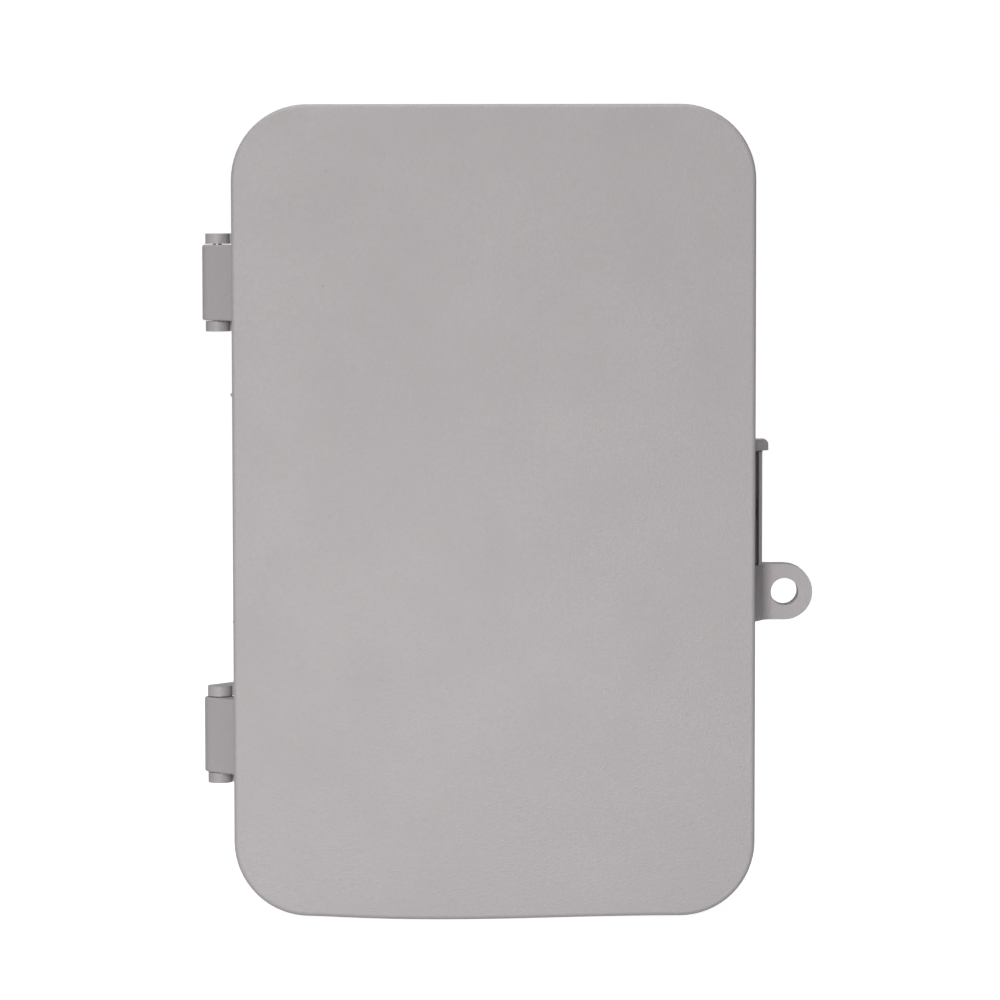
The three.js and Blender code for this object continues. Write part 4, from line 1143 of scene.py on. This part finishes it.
rules = []
for i in range(ROWS + 1):
    z = TABLE_TOP - i * ROW_PITCH
    rules.append(on_card(-CARD_HALF, CARD_HALF, z, z + RULE))
for x in COLUMNS:
    rules.append(on_card(x, x + RULE, TABLE_TOP - ROWS * ROW_PITCH, TABLE_TOP + RULE))
rules.append(on_card(-CARD_HALF, CARD_HALF, *HEADER))
flat_print("card_rule_print", rules, BLUE_INK, "door")
row_middle = TABLE_TOP - ROW_PITCH / 2
notes = [figures(str(i + 1), 5, 51, row_middle - i * ROW_PITCH, CARD_FACE, 1) for i in range(ROWS)]
for row in range(NOTE_LINES):
    low_edge, high_edge = [z - row * NOTE_DROP for z in FIRST_NOTE]
    for part in range(NOTE_PARTS):
        x = NOTE_LEFT + part * NOTE_PITCH
        notes.append(on_card(x, x + NOTE_LENGTH - 5 * ((row + part) % 3), low_edge, high_edge))
flat_print("card_note_print", notes, DARK_INK, "door")

# ------------------------------------------------------------------ stage, light and camera

FLOOR_HALF, FLOOR_GAP = 90, 0.0002  # metres
AMBIENT, WHITE_BACKDROP = 0.15, 1.02
BACKDROP_EDGE = (0.8, 0.97)  # how far a direction points to the rear where the white backdrop fades in
LENS, SENSOR = 157.4, 36
EYE, TARGET, ROLL = (0.00206, -1.615, 0.108), (0.00206, -0.115, 0.0050), -0.08  # roll in degrees


def paper(name):
    """White paper that glows: painted light, an emission that rises from 0.45 far in front to 0.9 near the
    object, so that it stays white close to the object.
    """
    n = Nodes(name)
    tone = n.blend(n.noise(3, detail=2), (0.5, 0.5, 0.5, 1), (0.52, 0.52, 0.52, 1))
    depth = n.add("ShaderNodeSeparateXYZ", {"Vector": n.place}).outputs["Y"]
    # painted light: the floor's own glow, brighter towards the object
    painted_glow = n.spread(depth, -1.1, -0.3, 0.45, 0.9)
    return n.finish(base_color=tone, roughness=0.9, emission_color=(1, 1, 1, 1), emission_strength=painted_glow)


floor_mesh = bpy.data.meshes.new("floor")
floor_corners = [(x * FLOOR_HALF, y * FLOOR_HALF, 0) for x, y in ((-1, -1), (1, -1), (1, 1), (-1, 1))]
floor_mesh.from_pydata(floor_corners, [], [(0, 1, 2, 3)])
floor = bpy.data.objects.new("floor", floor_mesh)
floor.location.z = cad_box[0].z - FLOOR_GAP
floor_mesh.materials.append(paper("floor_paper"))
bpy.context.scene.collection.objects.link(floor)
floor.visible_diffuse = False  # gives no light back, so undersides stay dark


def area_light(name, place, aim, width, height, power):
    data = bpy.data.lights.new(name, "AREA")
    data.shape = "RECTANGLE"
    data.size, data.size_y = width, height
    data.energy = power
    light = bpy.data.objects.new(name, data)
    light.location = place
    light.rotation_mode = "QUATERNION"
    light.rotation_quaternion = (Vector(aim) - Vector(place)).to_track_quat("-Z", "Y")
    bpy.context.scene.collection.objects.link(light)
    return light


area_light("key", place=(-0.5, -2.4, 0.45), aim=(0, -0.1, 0), width=1.0, height=0.9, power=31.2)
low_fill = area_light(
    "low_fill", place=(-0.04, -0.42, -0.108), aim=(0, -0.1, -0.06), width=0.3, height=0.05, power=0.26
)
low_fill.visible_camera = False
area_light("overhead", place=(-0.1, -0.25, 1.4), aim=(0, -0.1, 0), width=1.4, height=0.8, power=12.6)

world = bpy.data.worlds.new("studio")
bpy.context.scene.world = world
world.use_nodes = True
sky = world.node_tree
direction = sky.nodes.new("ShaderNodeTexCoord")
axes = sky.nodes.new("ShaderNodeSeparateXYZ")
backdrop = sky.nodes.new("ShaderNodeMapRange")
backdrop.interpolation_type = "SMOOTHSTEP"
backdrop.inputs["From Min"].default_value, backdrop.inputs["From Max"].default_value = BACKDROP_EDGE
backdrop.inputs["To Min"].default_value = AMBIENT
backdrop.inputs["To Max"].default_value = WHITE_BACKDROP
sky.nodes["Background"].inputs["Color"].default_value = (1, 1, 1, 1)
sky.links.new(direction.outputs["Generated"], axes.inputs[0])
sky.links.new(axes.outputs["Y"], backdrop.inputs["Value"])
sky.links.new(backdrop.outputs["Result"], sky.nodes["Background"].inputs["Strength"])

camera_data = bpy.data.cameras.new("camera")
camera = bpy.data.objects.new("camera", camera_data)
bpy.context.scene.collection.objects.link(camera)
bpy.context.scene.camera = camera
camera_data.lens = LENS
camera_data.sensor_width = SENSOR
camera.location = EYE
camera.rotation_mode = "QUATERNION"
aim = (Vector(TARGET) - Vector(EYE)).to_track_quat("-Z", "Y")
camera.rotation_quaternion = aim @ Quaternion((0, 0, 1), math.radians(ROLL))

bpy.context.scene.view_settings.view_transform = "Standard"
